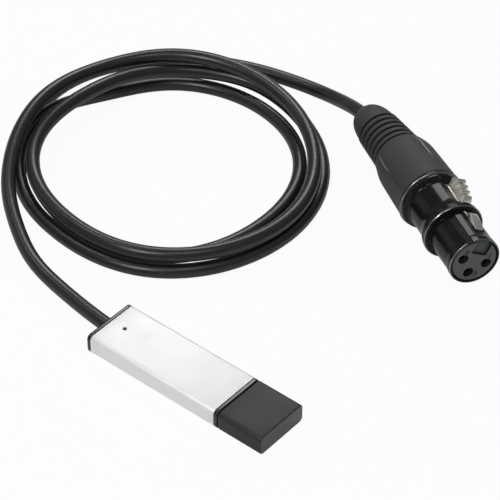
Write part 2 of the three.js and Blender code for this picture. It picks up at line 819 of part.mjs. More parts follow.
// Split cone that the boot squeezes onto the jacket
function cableChuck() {
  const outer = boot.cavityRadius - fitGap;
  const small = boot.cavityEndRadius - fitGap;
  const taperLength = boot.cavityTaperEnd - boot.cavityTaperStart;
  const taperShare = (chuck.rear - boot.cavityTaperStart) / taperLength;
  const rearRadius = THREE.MathUtils.lerp(outer, small, taperShare);
  const body = turned([
    [bootBore, chuck.rear],
    [rearRadius, chuck.rear],
    [outer, boot.cavityTaperStart],
    [outer, chuck.front],
    [bootBore, chuck.front],
    [bootBore, chuck.rear],
  ], 30);
  const slots = [];
  for (let slot = 0; slot < chuck.slots; slot += 1) {
    const gap = connectorBlock(
      [-chuck.slotWidth / 2, chuck.slotWidth / 2], [0, outer + overrun],
      [chuck.front - overrun, chuck.slotEnd]);
    slots.push(gap.rotateZ(slot * 2 * Math.PI / chuck.slots));
  }
  return piece('cable_chuck', leaned(cut(body, ...slots)), whitePlastic);
}

// Cores from the jacket to the solder cups, in the frame of the sockets
function xlrWire(index) {
  const [x, y] = socketPlaces[index];
  const angle = Math.atan2(y, x);
  const start = insert.rear + socket.cupLength + seamGap + coreDiameter / 2;
  const end = jacketEnd - fitGap;
  const [sx, sy] = [coreSpread * Math.cos(angle), coreSpread * Math.sin(angle)];
  const middle = (start + end) / 2;
  return core(`xlr_wire_${index + 1}`, [
    [x, y, -start],
    [x, y, -start - coreDiameter],
    [(x + sx) / 2, (y + sy) / 2, -middle],
    [sx, sy, -end + coreDiameter],
    [sx, sy, -end],
  ], coreColors[index]);
}

function connector() {
  const frame = new THREE.Group();
  const heading = THREE.MathUtils.degToRad(xlr.heading);
  const forward = new THREE.Vector3(Math.cos(heading), Math.sin(heading), 0);
  const up = new THREE.Vector3(0, 0, 1);
  const across = new THREE.Vector3().crossVectors(up, forward);
  frame.quaternion.setFromRotationMatrix(new THREE.Matrix4().makeBasis(across, up, forward));
  frame.position.set(xlr.faceX, xlr.faceY, xlr.collarRadius);
  const rolled = new THREE.Group();
  rolled.rotation.z = THREE.MathUtils.degToRad(xlr.roll);
  rolled.add(xlrShell(), xlrInsert(), latchLever(), latchSpring());
  for (let index = 0; index < socketPlaces.length; index += 1) {
    rolled.add(xlrSocket(index), xlrWire(index));
  }
  frame.add(rolled, xlrBoot(), cableChuck());
  frame.updateMatrixWorld(true);
  return frame;
}

// Cable
function coilLayer(turn) {
  let layer = smooth(turn, ...climbShares) - smooth(turn, ...descentShares);
  for (const [centre, halfWidth, rise] of humpShares) {
    const share = Math.min(1, Math.abs(turn - centre) / halfWidth);
    layer += rise * Math.cos(Math.PI / 2 * share) ** 2;
  }
  return layer;
}

function coilRadius(turn) {
  const last = coilRadiusShares.length - 1;
  const place = turn * sharesPerTurn + 1;
  const index = Math.min(last - 1, Math.max(0, Math.floor(place)));
  const share = place - index;
  const at = (i) => {
    if (i < 0) return 2 * coilRadiusShares[0] - coilRadiusShares[1];
    return coilRadiusShares[Math.min(last, i)];
  };
  const [a, b, c, d] = [at(index - 1), at(index), at(index + 1), at(index + 2)];
  const value = 2 * b + (c - a) * share + (2 * a - 5 * b + 4 * c - d) * share ** 2
    + (3 * b - a - 3 * c + d) * share ** 3;
  return coil.meanRadius * value / 2;
}

function coilPoint(turn) {
  const angle = THREE.MathUtils.degToRad(coil.zeroAngle) - 2 * Math.PI * turn;
  const radius = coilRadius(turn);
  return new THREE.Vector3(
    coil.centreX + radius * Math.cos(angle),
    coil.centreY + radius * Math.sin(angle),
    cableRadius + coil.layerPitch * coilLayer(turn));
}

const loopSteps = 24;

function coilPoints() {
  const steps = Math.round((coil.lastTurn - coil.firstTurn) * loopSteps);
  const points = [];
  for (let step = 0; step <= steps; step += 1) {
    points.push(coilPoint(THREE.MathUtils.lerp(coil.firstTurn, coil.lastTurn, step / steps)));
  }
  const straight = (end, next) => {
    const away = end.clone().sub(next).normalize();
    return end.clone().addScaledVector(away, cableDiameter);
  };
  points.unshift(straight(points[0], points[1]));
  points.push(straight(points[points.length - 1], points[points.length - 2]));
  return points;
}

// Unbroken tube through points, its section kept upright
function tube(points, radius, sides) {
  const vertices = [];
  const faces = [];
  const up = new THREE.Vector3(0, 0, 1);
  points.forEach((point, i) => {
    const before = points[Math.max(0, i - 1)];
    const after = points[Math.min(points.length - 1, i + 1)];
    const along = after.clone().sub(before).normalize();
    const sideways = new THREE.Vector3().crossVectors(along, up).normalize();
    const upward = new THREE.Vector3().crossVectors(sideways, along);
    for (let side = 0; side < sides; side += 1) {
      const angle = 2 * Math.PI * side / sides;
      const corner = point.clone()
        .addScaledVector(sideways, radius * Math.cos(angle))
        .addScaledVector(upward, radius * Math.sin(angle));
      vertices.push(corner.x, corner.y, corner.z);
    }
  });
  const last = (points.length - 1) * sides;
  for (let ring = 0; ring < points.length - 1; ring += 1) {
    for (let side = 0; side < sides; side += 1) {
      const [a, b] = [ring * sides + side, ring * sides + (side + 1) % sides];
      faces.push(a, b + sides, b, a, a + sides, b + sides);
    }
  }
  for (let side = 1; side < sides - 1; side += 1) {
    faces.push(0, side, side + 1, last, last + side + 1, last + side);
  }
  const geometry = new THREE.BufferGeometry();
  geometry.setAttribute('position', new THREE.Float32BufferAttribute(vertices, 3));
  geometry.setIndex(faces);
  return geometry;
}

// Smallest clear distance between strands of the coil that are more than a quarter turn apart
function leastGap(points) {
  const dense = [];
  const parts = 4;
  for (let i = 0; i < points.length - 1; i += 1) {
    for (let part = 0; part < parts; part += 1) {
      dense.push(points[i].clone().lerp(points[i + 1], part / parts));
    }
  }
  const apart = parts * loopSteps / 4;
  let least = Infinity;
  for (let i = 0; i < dense.length; i += 1) {
    for (let j = i + apart; j < dense.length; j += 1) {
      least = Math.min(least, dense[i].distanceTo(dense[j]));
    }
  }
  return least - cableDiameter;
}

function pathLength(points) {
  return points.slice(1).reduce((sum, point, i) => sum + point.distanceTo(points[i]), 0);
}

function lead(name, points) {
  const path = new THREE.CatmullRomCurve3(points);
  const section = new THREE.Shape().absarc(0, 0, cableRadius, 0, 2 * Math.PI);
  const steps = Math.round(path.getLength() / (1.2 * cableDiameter));
  const geometry = new THREE.ExtrudeGeometry(
    section, { steps, curveSegments: 10, extrudePath: path, bevelEnabled: false });
  console.log(name, 'length', path.getLength().toFixed(1));
  return piece(name, geometry, cableBlack);
}

const leadDongleRoute = [
  [-37, 0.8, 2.9], [-42.7, 1.8, 2.5], [-51.4, 3.4, 2.2], [-57.5, 4.5, 2.2], [-63.8, 5.6, 2.5],
  [-69.6, 7.2, 3.2],
];
const leadXlrRoute = [
  [-78.2, 120, 2.2], [-72, 121.6, 2.2], [-66, 122.8, 2.2], [-61, 123.6, 2.2], [-56.5, 124, 2.4],
  [-50.7, 123.5, 3.1], [-46, 122.5, 4.4], [-42.9, 121.2, 5.6], [-39.8, 119.7, 6.9], [-36.4, 118, 8.5],
];

function cable(frame) {
  const points = coilPoints();
  console.log('coil least gap', leastGap(points).toFixed(2), 'length', pathLength(points).toFixed(1));
  const meet = (end, next) => {
    const away = end.clone().sub(next).normalize();
    return [fitGap, fitGap + cableRadius / 2].map((reach) => end.clone().addScaledVector(away, reach));
  };
  const [dongleMeet, dongleNext] = meet(points[0], points[1]);
  const [xlrMeet, xlrNext] = meet(points[points.length - 1], points[points.length - 2]);
  const place = ([x, y, z]) => new THREE.Vector3(x, y, z);
  const inPlate = [[jacketEndX, 0, midZ], [rearX, 0, midZ]].map(place);
  const inBoot = [
    boot.noseEnd + cableRadius / 2, boot.noseEnd - cableRadius / 2, boot.noseEnd - cableDiameter,
    (boot.noseEnd + jacketEnd) / 2, boot.bendStart + cableRadius, jacketEnd + cableRadius, jacketEnd,
  ].map((station) => frame.localToWorld(new THREE.Vector3(lean(station), 0, -station)));
  const group = new THREE.Group();
  group.add(
    lead('cable_lead_dongle', [...inPlate, ...leadDongleRoute.map(place), dongleNext, dongleMeet]),
    piece('cable_coil', tube(points, cableRadius, 6), cableBlack),
    lead('cable_lead_xlr', [xlrMeet, xlrNext, ...leadXlrRoute.map(place), ...inBoot]));
  return group;
}

const model = new THREE.Group();
const xlrFrame = connector();
model.add(caseSleeve(), rearEndCap(), frontCollar(), usbCap(), plugShell(), plugTongue());
for (let index = 0; index < 4; index += 1) model.add(plugContact(index));
model.add(circuitBoard(), crystal(), statusLamp());
model.add(chip('usb_bridge_chip', bridgeChip.place, bridgeChip.size, bridgeChip.legs));
model.add(chip('line_driver_chip', driverChip.place, driverChip.size, driverChip.legs));
capacitorSpots.forEach((spot, i) =>
  model.add(chipComponent(`capacitor_${i + 1}`, spot, capacitorSize, ceramic)));
resistorSpots.forEach((spot, i) =>
  model.add(chipComponent(`resistor_${i + 1}`, spot, resistorSize, chipBlack)));
for (let index = 0; index < 3; index += 1) model.add(boardWire(index));
model.add(xlrFrame, cable(xlrFrame));

export default model;
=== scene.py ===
# A USB to DMX interface on a pale table: flat dongle, a pile of cable loops and a three-socket cable connector
import math
import bmesh
import bpy
from mathutils import Matrix, Vector


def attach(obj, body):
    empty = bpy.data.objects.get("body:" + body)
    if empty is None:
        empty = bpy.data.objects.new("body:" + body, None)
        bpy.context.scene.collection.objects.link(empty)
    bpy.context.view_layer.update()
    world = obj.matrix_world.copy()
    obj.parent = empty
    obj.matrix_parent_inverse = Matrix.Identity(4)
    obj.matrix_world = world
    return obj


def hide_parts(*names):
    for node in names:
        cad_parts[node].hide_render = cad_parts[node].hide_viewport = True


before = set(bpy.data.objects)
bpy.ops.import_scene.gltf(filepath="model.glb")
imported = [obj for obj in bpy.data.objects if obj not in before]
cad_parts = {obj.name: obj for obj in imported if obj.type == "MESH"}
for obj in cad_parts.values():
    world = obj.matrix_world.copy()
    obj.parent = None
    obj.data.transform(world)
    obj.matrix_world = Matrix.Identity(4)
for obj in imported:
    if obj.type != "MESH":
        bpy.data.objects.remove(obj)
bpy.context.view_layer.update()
mm = 0.001
tiny = 1e-4         # mm, places closer than this are one place
overrun = 1         # mm, how far a cutter runs past the piece
mainBody = "dongle_cable_and_shell"
capBody = "cap"
latchBody = "latch"
print("frame loaded,", len(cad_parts), "nodes")


def linked(name, data):
    made = bpy.data.objects.new(name, data)
    bpy.context.scene.collection.objects.link(made)
    return made


def aimed(made, place, target):
    made.location = place
    aim = Vector(target) - Vector(place)
    made.rotation_euler = aim.to_track_quat("-Z", "Y").to_euler()


# The camera stands where the photograph was taken from
camera = {
    "place": (0.3227, -0.3598, 0.4701),
    "target": (-0.0247, 0.0536, 0.0),
    "lens": 175.7,
    "sensor": 36,
    "clipStart": 0.01,
}


def addCamera(values):
    data = bpy.data.cameras.new("photoCamera")
    data.lens = values["lens"]
    data.sensor_width = values["sensor"]
    data.clip_start = values["clipStart"]
    eye = linked("photoCamera", data)
    aimed(eye, values["place"], values["target"])
    bpy.context.scene.camera = eye


addCamera(camera)

# Connector frame: x across, y up, z forward out of its face, stations run back from the face
connector = {
    "face": (35.15, 82.12, 10.2),
    "heading": -28.35,
    "roll": -26.5,
}


def connectorPlace():
    heading = math.radians(connector["heading"])
    forward = Vector((math.cos(heading), math.sin(heading), 0))
    up = Vector((0, 0, 1))
    turn = Matrix((up.cross(forward), up, forward)).transposed().to_4x4()
    return Matrix.Translation(Vector(connector["face"])) @ turn


levelPlace = connectorPlace()
rolledPlace = levelPlace @ Matrix.Rotation(math.radians(connector["roll"]), 4, "Z")

# Cable: the same route as the solids, on one line from the dongle into the boot
cable = {
    "diameter": 4.4,
    "start": [(-28.2, 0, 3.15), (-31.5, 0, 3.15)],
    "dongleLead": [
        (-37, 0.8, 2.9), (-42.7, 1.8, 2.5), (-51.4, 3.4, 2.2), (-57.5, 4.5, 2.2), (-63.8, 5.6, 2.5),
        (-69.6, 7.2, 3.2)],
    "coilCentre": (-69.07, 65.95),
    "coilRadius": 45,
    "coilTurns": (-0.11, 3.3),
    "coilAngle": 220.05,
    "coilShares": [
        1.24, 0.998, 0.907, 0.917, 0.932, 1.011, 1.107, 1.081, 0.939, 0.885, 0.722, 0.852, 1.001, 1.076, 1.121,
        1.117, 0.994, 0.99, 0.85, 0.895, 0.898, 0.927, 0.931, 0.978, 0.882, 0.906, 1.129, 1.18, 1.197, 1.289],
    "sharesPerTurn": 8, "sharesBefore": 1,
    "layerPitch": 5,
    "climb": (-0.2, -0.02),
    "descent": (1.32, 1.47),
    "humps": [(0.05, 0.16, 0.95), (0.27, 0.32, 1.1), (1.12, 0.2, 1.02), (2.06, 0.14, 1.25)],
    "connectorLead": [
        (-78.2, 120, 2.2), (-72, 121.6, 2.2), (-66, 122.8, 2.2), (-61, 123.6, 2.2), (-56.5, 124, 2.4),
        (-50.7, 123.5, 3.1), (-46, 122.5, 4.4), (-42.9, 121.2, 5.6), (-39.8, 119.7, 6.9), (-36.4, 118, 8.5)],
    "jacketEnd": 36.5,
    "exit": (-31.5, 0, 3.15),
    "stepsPerTurn": 24, "fineSteps": 8, "spacing": 5, "rounds": 3,
    "sideSteps": 8, "lengthSteps": 4,
}
boot = {
    "front": 30.7, "frontRadius": 10, "frontRim": 0.35, "frontRounding": 0.2,
    "shoulder": (45.5, 9.45), "waist": (55, 7.6), "smoothSteps": 14,
    "grooveStart": 52.2, "groovePitch": 2.4, "grooves": 6, "grooveWidth": 1.0, "grooveDepth": 0.9,
    "grooveFloor": 0.6, "ribRounding": 0.25, "floorRounding": 0.15,
    "ribEndRadius": 6.8, "ribEndBack": 0.3, "ribEndRounding": 0.1, "ribFloor": 5,
    "noseStart": 65.6, "noseRadius": 6.5, "noseEnd": 74, "noseBulge": 6.1, "noseBack": 0.8, "noseLip": 0.3,
    "noseSteps": 16, "bore": 2.5,
    "neckRadius": 7.8, "neckLength": 3.4,
    "cavityRadius": 6.5, "cavityTaper": (43, 51), "cavityEndRadius": 3.7,
    "flatDistance": 8.7,
    "panel": {"angles": (-65, 25), "stations": (38.6, 49.6), "depth": 0.22, "edge": 1.2},
    "bendStart": 50, "tailShift": 1.55,
    "steps": 120, "cornerSteps": 4, "sharp": 24,
}


def smoothShare(value, low, high):
    share = min(1, max(0, (value - low) / (high - low)))
    return share * share * (3 - 2 * share)


def through(a, b, c, d, t):       # smooth way from b to c, with a before them and d after
    return (2 * b + (c - a) * t + (2 * a - 5 * b + 4 * c - d) * t ** 2 + (3 * b - a - 3 * c + d) * t ** 3) / 2


def tailLean(station):
    share = (station - boot["bendStart"]) / (boot["noseEnd"] - boot["bendStart"])
    return -boot["tailShift"] * max(0, share)


def coilPoint(turn):
    shares = cable["coilShares"]
    last = len(shares) - 1
    place = turn * cable["sharesPerTurn"] + cable["sharesBefore"]
    index = min(last - 1, max(0, math.floor(place)))
    before = 2 * shares[0] - shares[1] if index == 0 else shares[index - 1]
    share = through(before, shares[index], shares[index + 1], shares[min(last, index + 2)], place - index)
    layer = smoothShare(turn, *cable["climb"]) - smoothShare(turn, *cable["descent"])
    for centre, halfWidth, rise in cable["humps"]:
        layer += rise * math.cos(math.pi / 2 * min(1, abs(turn - centre) / halfWidth)) ** 2
    angle = math.radians(cable["coilAngle"]) - 2 * math.pi * turn
    radius = cable["coilRadius"] * share
    return Vector((
        cable["coilCentre"][0] + radius * math.cos(angle),
        cable["coilCentre"][1] + radius * math.sin(angle),
        cable["diameter"] / 2 + cable["layerPitch"] * layer))


def evenLine(points, spacing):       # a smooth line through the points, cut into even steps
    fine = []
    ends = [points[0], *points, points[-1]]
    for i in range(1, len(ends) - 2):
        for step in range(cable["fineSteps"]):
            fine.append(through(*ends[i - 1:i + 3], step / cable["fineSteps"]))
    fine.append(points[-1])
    reach = [0]
    for first, second in zip(fine, fine[1:]):
        reach.append(reach[-1] + (second - first).length)
    count = round(reach[-1] / spacing)
    line, k = [], 0
    for step in range(count + 1):
        wanted = reach[-1] * step / count
        while k < len(fine) - 2 and reach[k + 1] < wanted:
            k += 1
        share = (wanted - reach[k]) / max(1e-9, reach[k + 1] - reach[k])
        line.append(fine[k].lerp(fine[k + 1], share))
    return line


def cableLine():
    first, last = cable["coilTurns"]
    steps = round((last - first) * cable["stepsPerTurn"])
    coil = [coilPoint(first + (last - first) * step / steps) for step in range(steps + 1)]
    radius = cable["diameter"] / 2
    nose, end = boot["noseEnd"], cable["jacketEnd"]
    stations = [nose + radius / 2, nose - radius / 2, nose - radius * 2, (nose + end) / 2,
                boot["bendStart"] + radius, end + radius, end]
    inBoot = [levelPlace @ Vector((tailLean(s), 0, -s)) for s in stations]
    points = [Vector(p) for p in cable["start"] + cable["dongleLead"]]
    points += coil + [Vector(p) for p in cable["connectorLead"]] + inBoot
    line = evenLine(points, cable["spacing"])
    for _ in range(cable["rounds"]):        # evens out the joints between the leads and the coil
        line = [line[0]] + [(a + 2 * b + c) / 4 for a, b, c in zip(line, line[1:], line[2:])] + [line[-1]]
    for point in line:
        point.z = max(point.z, radius)
    return [point * mm for point in line]


# Shader maths: a socket that takes Python's operators
class Signal:
    def __init__(self, finish, socket):
        self.finish = finish
        self.socket = socket

    def maths(self, operation, other):
        return self.finish.node("ShaderNodeMath", {"operation": operation}, {0: self, 1: other})

    def __add__(self, other):
        return self.maths("ADD", other)

    def __sub__(self, other):
        return self.maths("SUBTRACT", other)

    def __mul__(self, other):
        return self.maths("MULTIPLY", other)

    __radd__ = __add__

    def between(self, low, high):       # 0 at low, 1 at high, smooth between
        return self.finish.node("ShaderNodeMapRange", {"interpolation_type": "SMOOTHSTEP"},
                                {"Value": self, "From Min": low, "From Max": high})


class Finish:
    def __init__(self, name):
        self.material = bpy.data.materials.new(name)
        self.material.use_nodes = True
        self.tree = self.material.node_tree
        self.tree.nodes.clear()
        self.output = self.tree.nodes.new("ShaderNodeOutputMaterial")
        coordinates = self.tree.nodes.new("ShaderNodeTexCoord")
        self.place = Signal(self, coordinates.outputs["Object"])

    def node(self, kind, settings, inputs, output=0):
        made = self.tree.nodes.new(kind)
        for name, value in settings.items():
            setattr(made, name, value)
        for name, value in inputs.items():
            self.feed(made.inputs[name], value)
        return Signal(self, made.outputs[output])

    def feed(self, socket, value):
        if isinstance(value, Signal):
            self.tree.links.new(value.socket, socket)
        elif isinstance(value, tuple) and len(value) == 3 and len(socket.default_value) == 4:
            socket.default_value = (*value, 1)
        else:
            socket.default_value = value

    def stretched(self, scale):
        return self.node("ShaderNodeMapping", {"vector_type": "TEXTURE"}, {
            "Vector": self.place, "Scale": tuple(1 / value for value in scale)})

    def noise(self, scale, detail=3, along=None):
        return self.node("ShaderNodeTexNoise", {}, {
            "Vector": along or self.place, "Scale": scale, "Detail": detail, "Roughness": 0.55})

    def blend(self, share, first, second):
        return self.node("ShaderNodeMix", {"data_type": "RGBA"}, {0: share, 6: first, 7: second}, output=2)

    def bump(self, height, distance, strength):
        return self.node("ShaderNodeBump", {}, {
            "Strength": strength, "Distance": distance, "Height": height})

    def shade(self, **values):
        names = {
            "colour": "Base Color", "roughness": "Roughness", "metal": "Metallic", "bump": "Normal",
            "specular": "Specular IOR Level", "ior": "IOR", "clear": "Transmission Weight"}
        shader = self.node("ShaderNodeBsdfPrincipled", {}, {names[key]: value for key, value in values.items()})
        self.tree.links.new(shader.socket, self.output.inputs["Surface"])
        return self.material


# Finishes: each gives the colour, its roughness and the fine marks on it
metals = {
    "aluminium": {
        "colour": (0.955, 0.957, 0.96), "worn": (0.91, 0.912, 0.916), "roughness": 0.62, "metal": 0.8,
        "grain": (25, 2600, 2600)},
    "plugSteel": {
        "colour": (0.66, 0.67, 0.69), "worn": (0.56, 0.57, 0.6), "roughness": 0.22,
        "grain": (40, 1800, 1800)},
    "latchSilver": {
        "colour": (0.7, 0.68, 0.61), "worn": (0.22, 0.21, 0.18), "roughness": 0.3,
        "grain": (600, 600, 600)},
    "springSteel": {
        "colour": (0.5, 0.51, 0.53), "worn": (0.35, 0.36, 0.38), "roughness": 0.3,
        "grain": (300, 900, 900)},
    # Dark metal for the sockets: plating colour, darkened further as painted shade inside the socket holes
    "socketPlateAndPaintedShade": {
        "colour": (0.3, 0.27, 0.2), "worn": (0.08, 0.07, 0.05), "roughness": 0.25,
        "grain": (700, 700, 700)},
    # Lighter grey metal for narrow bands at the shell's ring edges: painted sheen standing in for highlight lines
    "shellRimPaintedSheen": {
        "colour": (0.24, 0.24, 0.235), "worn": (0.07, 0.07, 0.068), "roughness": 0.27,
        "grain": (400, 400, 400)},
    "goldPlate": {
        "colour": (0.87, 0.66, 0.28), "worn": (0.7, 0.5, 0.2), "roughness": 0.22,
        "grain": (700, 700, 700)},
}
metalWear = {
    "cloud": 140, "cloudShare": 0.6, "grainShare": 0.25, "cloudRoughness": 0.12, "grainRoughness": 0.16,
    "depth": 0.00002, "strength": 0.25,
}


def metalFinish(name):
    values, wear = metals[name], metalWear
    finish = Finish(name)
    grain = finish.noise(1, detail=4, along=finish.stretched(values["grain"]))
    cloud = finish.noise(wear["cloud"])
    worn = cloud.between(0.45, 0.8) * wear["cloudShare"] + grain.between(0.5, 0.85) * wear["grainShare"]
    roughness = values["roughness"] + (grain - 0.5) * wear["grainRoughness"] + (cloud - 0.5) * wear["cloudRoughness"]
    return finish.shade(
        colour=finish.blend(worn, values["colour"], values["worn"]), metal=values.get("metal", 1.0),
        roughness=roughness, bump=finish.bump(grain, wear["depth"], wear["strength"]))


plastics = {
    "glossBlack": {
        "colour": (0.011, 0.011, 0.012), "dust": (0.03, 0.03, 0.031), "roughness": 0.16,
        "grain": 900, "depth": 0.00001},
    "capBlack": {
        "colour": (0.011, 0.0125, 0.013), "dust": (0.022, 0.023, 0.024), "roughness": 0.5,
        "grain": 1500, "depth": 0.00002},
    # The cap's end face gets a lighter, glossier copy of the cap finish: painted light on that face
    "capEnd": {
        "colour": (0.014, 0.015, 0.015), "dust": (0.03, 0.03, 0.029), "roughness": 0.34, "specular": 1.0,
        "grain": 1500, "depth": 0.00002},
    "cableBlack": {
        "colour": (0.009, 0.0095, 0.0095), "dust": (0.02, 0.02, 0.0205), "roughness": 0.33, "specular": 0.55,
        "grain": 900, "depth": 0.000003},
    "bootGrey": {
        "colour": (0.038, 0.039, 0.039), "dust": (0.06, 0.061, 0.061), "roughness": 0.62,
        "grain": 2200, "depth": 0.00005},
    # Light grey for the boot panel's edge lines: a painted highlight along those edges
    "bootEdgePaintedHighlight": {
        "colour": (0.13, 0.132, 0.13), "dust": (0.19, 0.19, 0.188), "roughness": 0.4,
        "grain": 2200, "depth": 0.00002},
    "insertGrey": {
        "colour": (0.082, 0.086, 0.081), "dust": (0.115, 0.12, 0.114), "roughness": 0.5,
        "grain": 1800, "depth": 0.00002},
    "keyGrey": {
        "colour": (0.042, 0.058, 0.055), "dust": (0.06, 0.075, 0.072), "roughness": 0.45,
        "grain": 1500, "depth": 0.00001},
    # Near-black for the boot's groove walls and the insert notch's walls: painted shade in those recesses
    "paintedShadeBlack": {
        "colour": (0.006, 0.006, 0.006), "dust": (0.012, 0.012, 0.012), "roughness": 0.6,
        "grain": 1500, "depth": 0.00001},
    "numeralGrey": {
        "colour": (0.012, 0.012, 0.012), "dust": (0.03, 0.03, 0.03), "roughness": 0.5,
        "grain": 1500, "depth": 0.00001},
    "whitePlastic": {
        "colour": (0.8, 0.79, 0.75), "dust": (0.7, 0.69, 0.65), "roughness": 0.45,
        "grain": 900, "depth": 0.00002},
    "chipBlack": {
        "colour": (0.02, 0.02, 0.021), "dust": (0.05, 0.05, 0.052), "roughness": 0.55,
        "grain": 4000, "depth": 0.00002},
    "ceramicTan": {
        "colour": (0.4, 0.29, 0.17), "dust": (0.55, 0.45, 0.33), "roughness": 0.5,
        "grain": 3000, "depth": 0.00001},
    "coreRed": {
        "colour": (0.5, 0.03, 0.025), "dust": (0.6, 0.1, 0.08), "roughness": 0.35,
        "grain": 1500, "depth": 0.00001},
    "coreWhite": {
        "colour": (0.78, 0.77, 0.72), "dust": (0.65, 0.64, 0.6), "roughness": 0.35,
        "grain": 1500, "depth": 0.00001},
    "coreGreen": {
        "colour": (0.02, 0.22, 0.06), "dust": (0.06, 0.3, 0.12), "roughness": 0.35,
        "grain": 1500, "depth": 0.00001},
}
plasticWear = {
    "cloud": 90, "speck": 2600, "cloudShare": 0.5, "speckShare": 0.35, "cloudRoughness": 0.16,
    "grainRoughness": 0.08, "strength": 0.5,
}


def plasticFinish(name):
    values, wear = plastics[name], plasticWear
    finish = Finish(name)
    grain = finish.noise(values["grain"])
    cloud = finish.noise(wear["cloud"], detail=4)
    speck = finish.noise(wear["speck"], detail=1).between(0.68, 0.76)
    dusty = cloud.between(0.4, 0.85) * wear["cloudShare"] + speck * wear["speckShare"]
    roughness = values["roughness"] + (cloud - 0.5) * wear["cloudRoughness"] + (grain - 0.5) * wear["grainRoughness"]
    return finish.shade(
        colour=finish.blend(dusty, values["colour"], values["dust"]), roughness=roughness,
        specular=values.get("specular", 0.5), bump=finish.bump(grain, values["depth"], wear["strength"]))


shellPaint = {
    "colour": (0.006, 0.0065, 0.0068), "dust": (0.02, 0.021, 0.021), "dustShare": 0.6, "cloud": 160,
    "roughness": 0.16, "dulled": 0.08, "specular": 0.2, "ripple": 420, "depth": 0.00003, "strength": 0.25,
}


def shellFinish():
    finish = Finish("shellBlack")
    cloud = finish.noise(shellPaint["cloud"], detail=4)
    ripple = finish.noise(shellPaint["ripple"], detail=2)
    dusty = cloud.between(0.45, 0.85) * shellPaint["dustShare"]
    return finish.shade(
        colour=finish.blend(dusty, shellPaint["colour"], shellPaint["dust"]),
        roughness=shellPaint["roughness"] + cloud.between(0.4, 0.9) * shellPaint["dulled"],
        specular=shellPaint["specular"], bump=finish.bump(ripple, shellPaint["depth"], shellPaint["strength"]))


boardMask = {
    "colour": (0.012, 0.13, 0.035), "track": (0.03, 0.24, 0.07), "trackScale": 0.7, "trackWidth": 0.07,
    "stretch": (900, 900, 900), "cloud": 300, "roughness": 0.28, "dulled": 0.16, "cloudHeight": 0.2,
    "depth": 0.00004, "strength": 0.6,
}


def boardFinish():
    finish = Finish("boardGreen")
    tracks = finish.node("ShaderNodeTexBrick", {"offset": 0.35, "squash": 1.6}, {
        "Vector": finish.stretched(boardMask["stretch"]), "Scale": boardMask["trackScale"],
        "Mortar Size": boardMask["trackWidth"], "Color1": (0, 0, 0), "Color2": (0, 0, 0),
        "Mortar": (1, 1, 1)}, output=1)
    cloud = finish.noise(boardMask["cloud"])
    height = tracks + cloud * boardMask["cloudHeight"]
    return finish.shade(
        colour=finish.blend(tracks, boardMask["colour"], boardMask["track"]),
        roughness=boardMask["roughness"] + cloud * boardMask["dulled"],
        bump=finish.bump(height, boardMask["depth"], boardMask["strength"]))


lampLens = {
    "colour": (0.88, 0.88, 0.8), "cloudy": (0.78, 0.8, 0.7), "cloud": 900, "roughness": 0.12, "dulled": 0.1,
    "clear": 0.6, "ior": 1.5,
}


def lampFinish():
    finish = Finish("lampLens")
    cloud = finish.noise(lampLens["cloud"])
    return finish.shade(
        colour=finish.blend(cloud, lampLens["colour"], lampLens["cloudy"]),
        roughness=lampLens["roughness"] + cloud * lampLens["dulled"],
        clear=lampLens["clear"], ior=lampLens["ior"])


finishes = {name: metalFinish(name) for name in metals}
finishes.update({name: plasticFinish(name) for name in plastics})
finishes.update({"shellBlack": shellFinish(), "boardGreen": boardFinish(), "lampLens": lampFinish()})
print("finishes made,", len(finishes))

# Solids that stay as they are get their finish by name
nodeFinishes = {
    "case_sleeve": "aluminium", "rear_end_cap": "glossBlack", "front_collar": "glossBlack", "usb_cap": "capBlack",
    "usb_plug_shell": "plugSteel", "usb_tongue": "whitePlastic", "circuit_board": "boardGreen",
    "usb_bridge_chip": "chipBlack", "line_driver_chip": "chipBlack", "crystal": "plugSteel",
    "status_led": "lampLens", "cable_lead_dongle": "cableBlack", "cable_coil": "cableBlack",
    "cable_lead_xlr": "cableBlack", "xlr_boot": "bootGrey", "xlr_shell": "shellBlack", "xlr_insert": "insertGrey",
    "latch_lever": "latchSilver", "latch_spring": "springSteel", "cable_chuck": "whitePlastic",
}
# the sockets' finish is darkened as painted shade inside their holes
for number, core in enumerate(("coreRed", "coreWhite", "coreGreen"), 1):
    nodeFinishes.update({
        f"capacitor_{number}": "ceramicTan", f"resistor_{number}": "chipBlack", f"xlr_socket_{number}": "socketPlateAndPaintedShade",
        f"board_wire_{number}": core, f"xlr_wire_{number}": core})
for number in (1, 2, 3, 4):
    nodeFinishes[f"usb_contact_{number}"] = "goldPlate"
for name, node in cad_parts.items():
    node.data.materials.clear()
    node.data.materials.append(finishes[nodeFinishes[name]])


# Pieces: lengths are in mm until toMesh
def toMesh(name, bm, place=None):
    bmesh.ops.transform(bm, matrix=Matrix.Scale(mm, 4) @ (place or Matrix()), verts=bm.verts)
    bmesh.ops.recalc_face_normals(bm, faces=bm.faces)
    mesh = bpy.data.meshes.new(name)
    bm.to_mesh(mesh)
    bm.free()
    return mesh


def smoothed(piece, sharp=35):
    piece.data.shade_smooth()
    piece.data.set_sharp_from_angle(angle=math.radians(sharp))


def addPiece(name, mesh, finish, body, stands=(), sharp=35):
    piece = linked(name, mesh)
    mesh.materials.append(finishes[finish])
    smoothed(piece, sharp)
    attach(piece, body)
    if stands:
        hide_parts(*stands)
    return piece


def marked(piece, finish, chosen):       # the faces that the rule picks get a finish of their own
    index = len(piece.data.materials)
    piece.data.materials.append(finishes[finish])
    for face in piece.data.polygons:
        if chosen(face):
            face.material_index = index


def settled(piece):       # modifiers worked into the mesh
    depsgraph = bpy.context.evaluated_depsgraph_get()
    mesh = bpy.data.meshes.new_from_object(piece.evaluated_get(depsgraph))
    piece.modifiers.clear()
    piece.data = mesh
    return piece


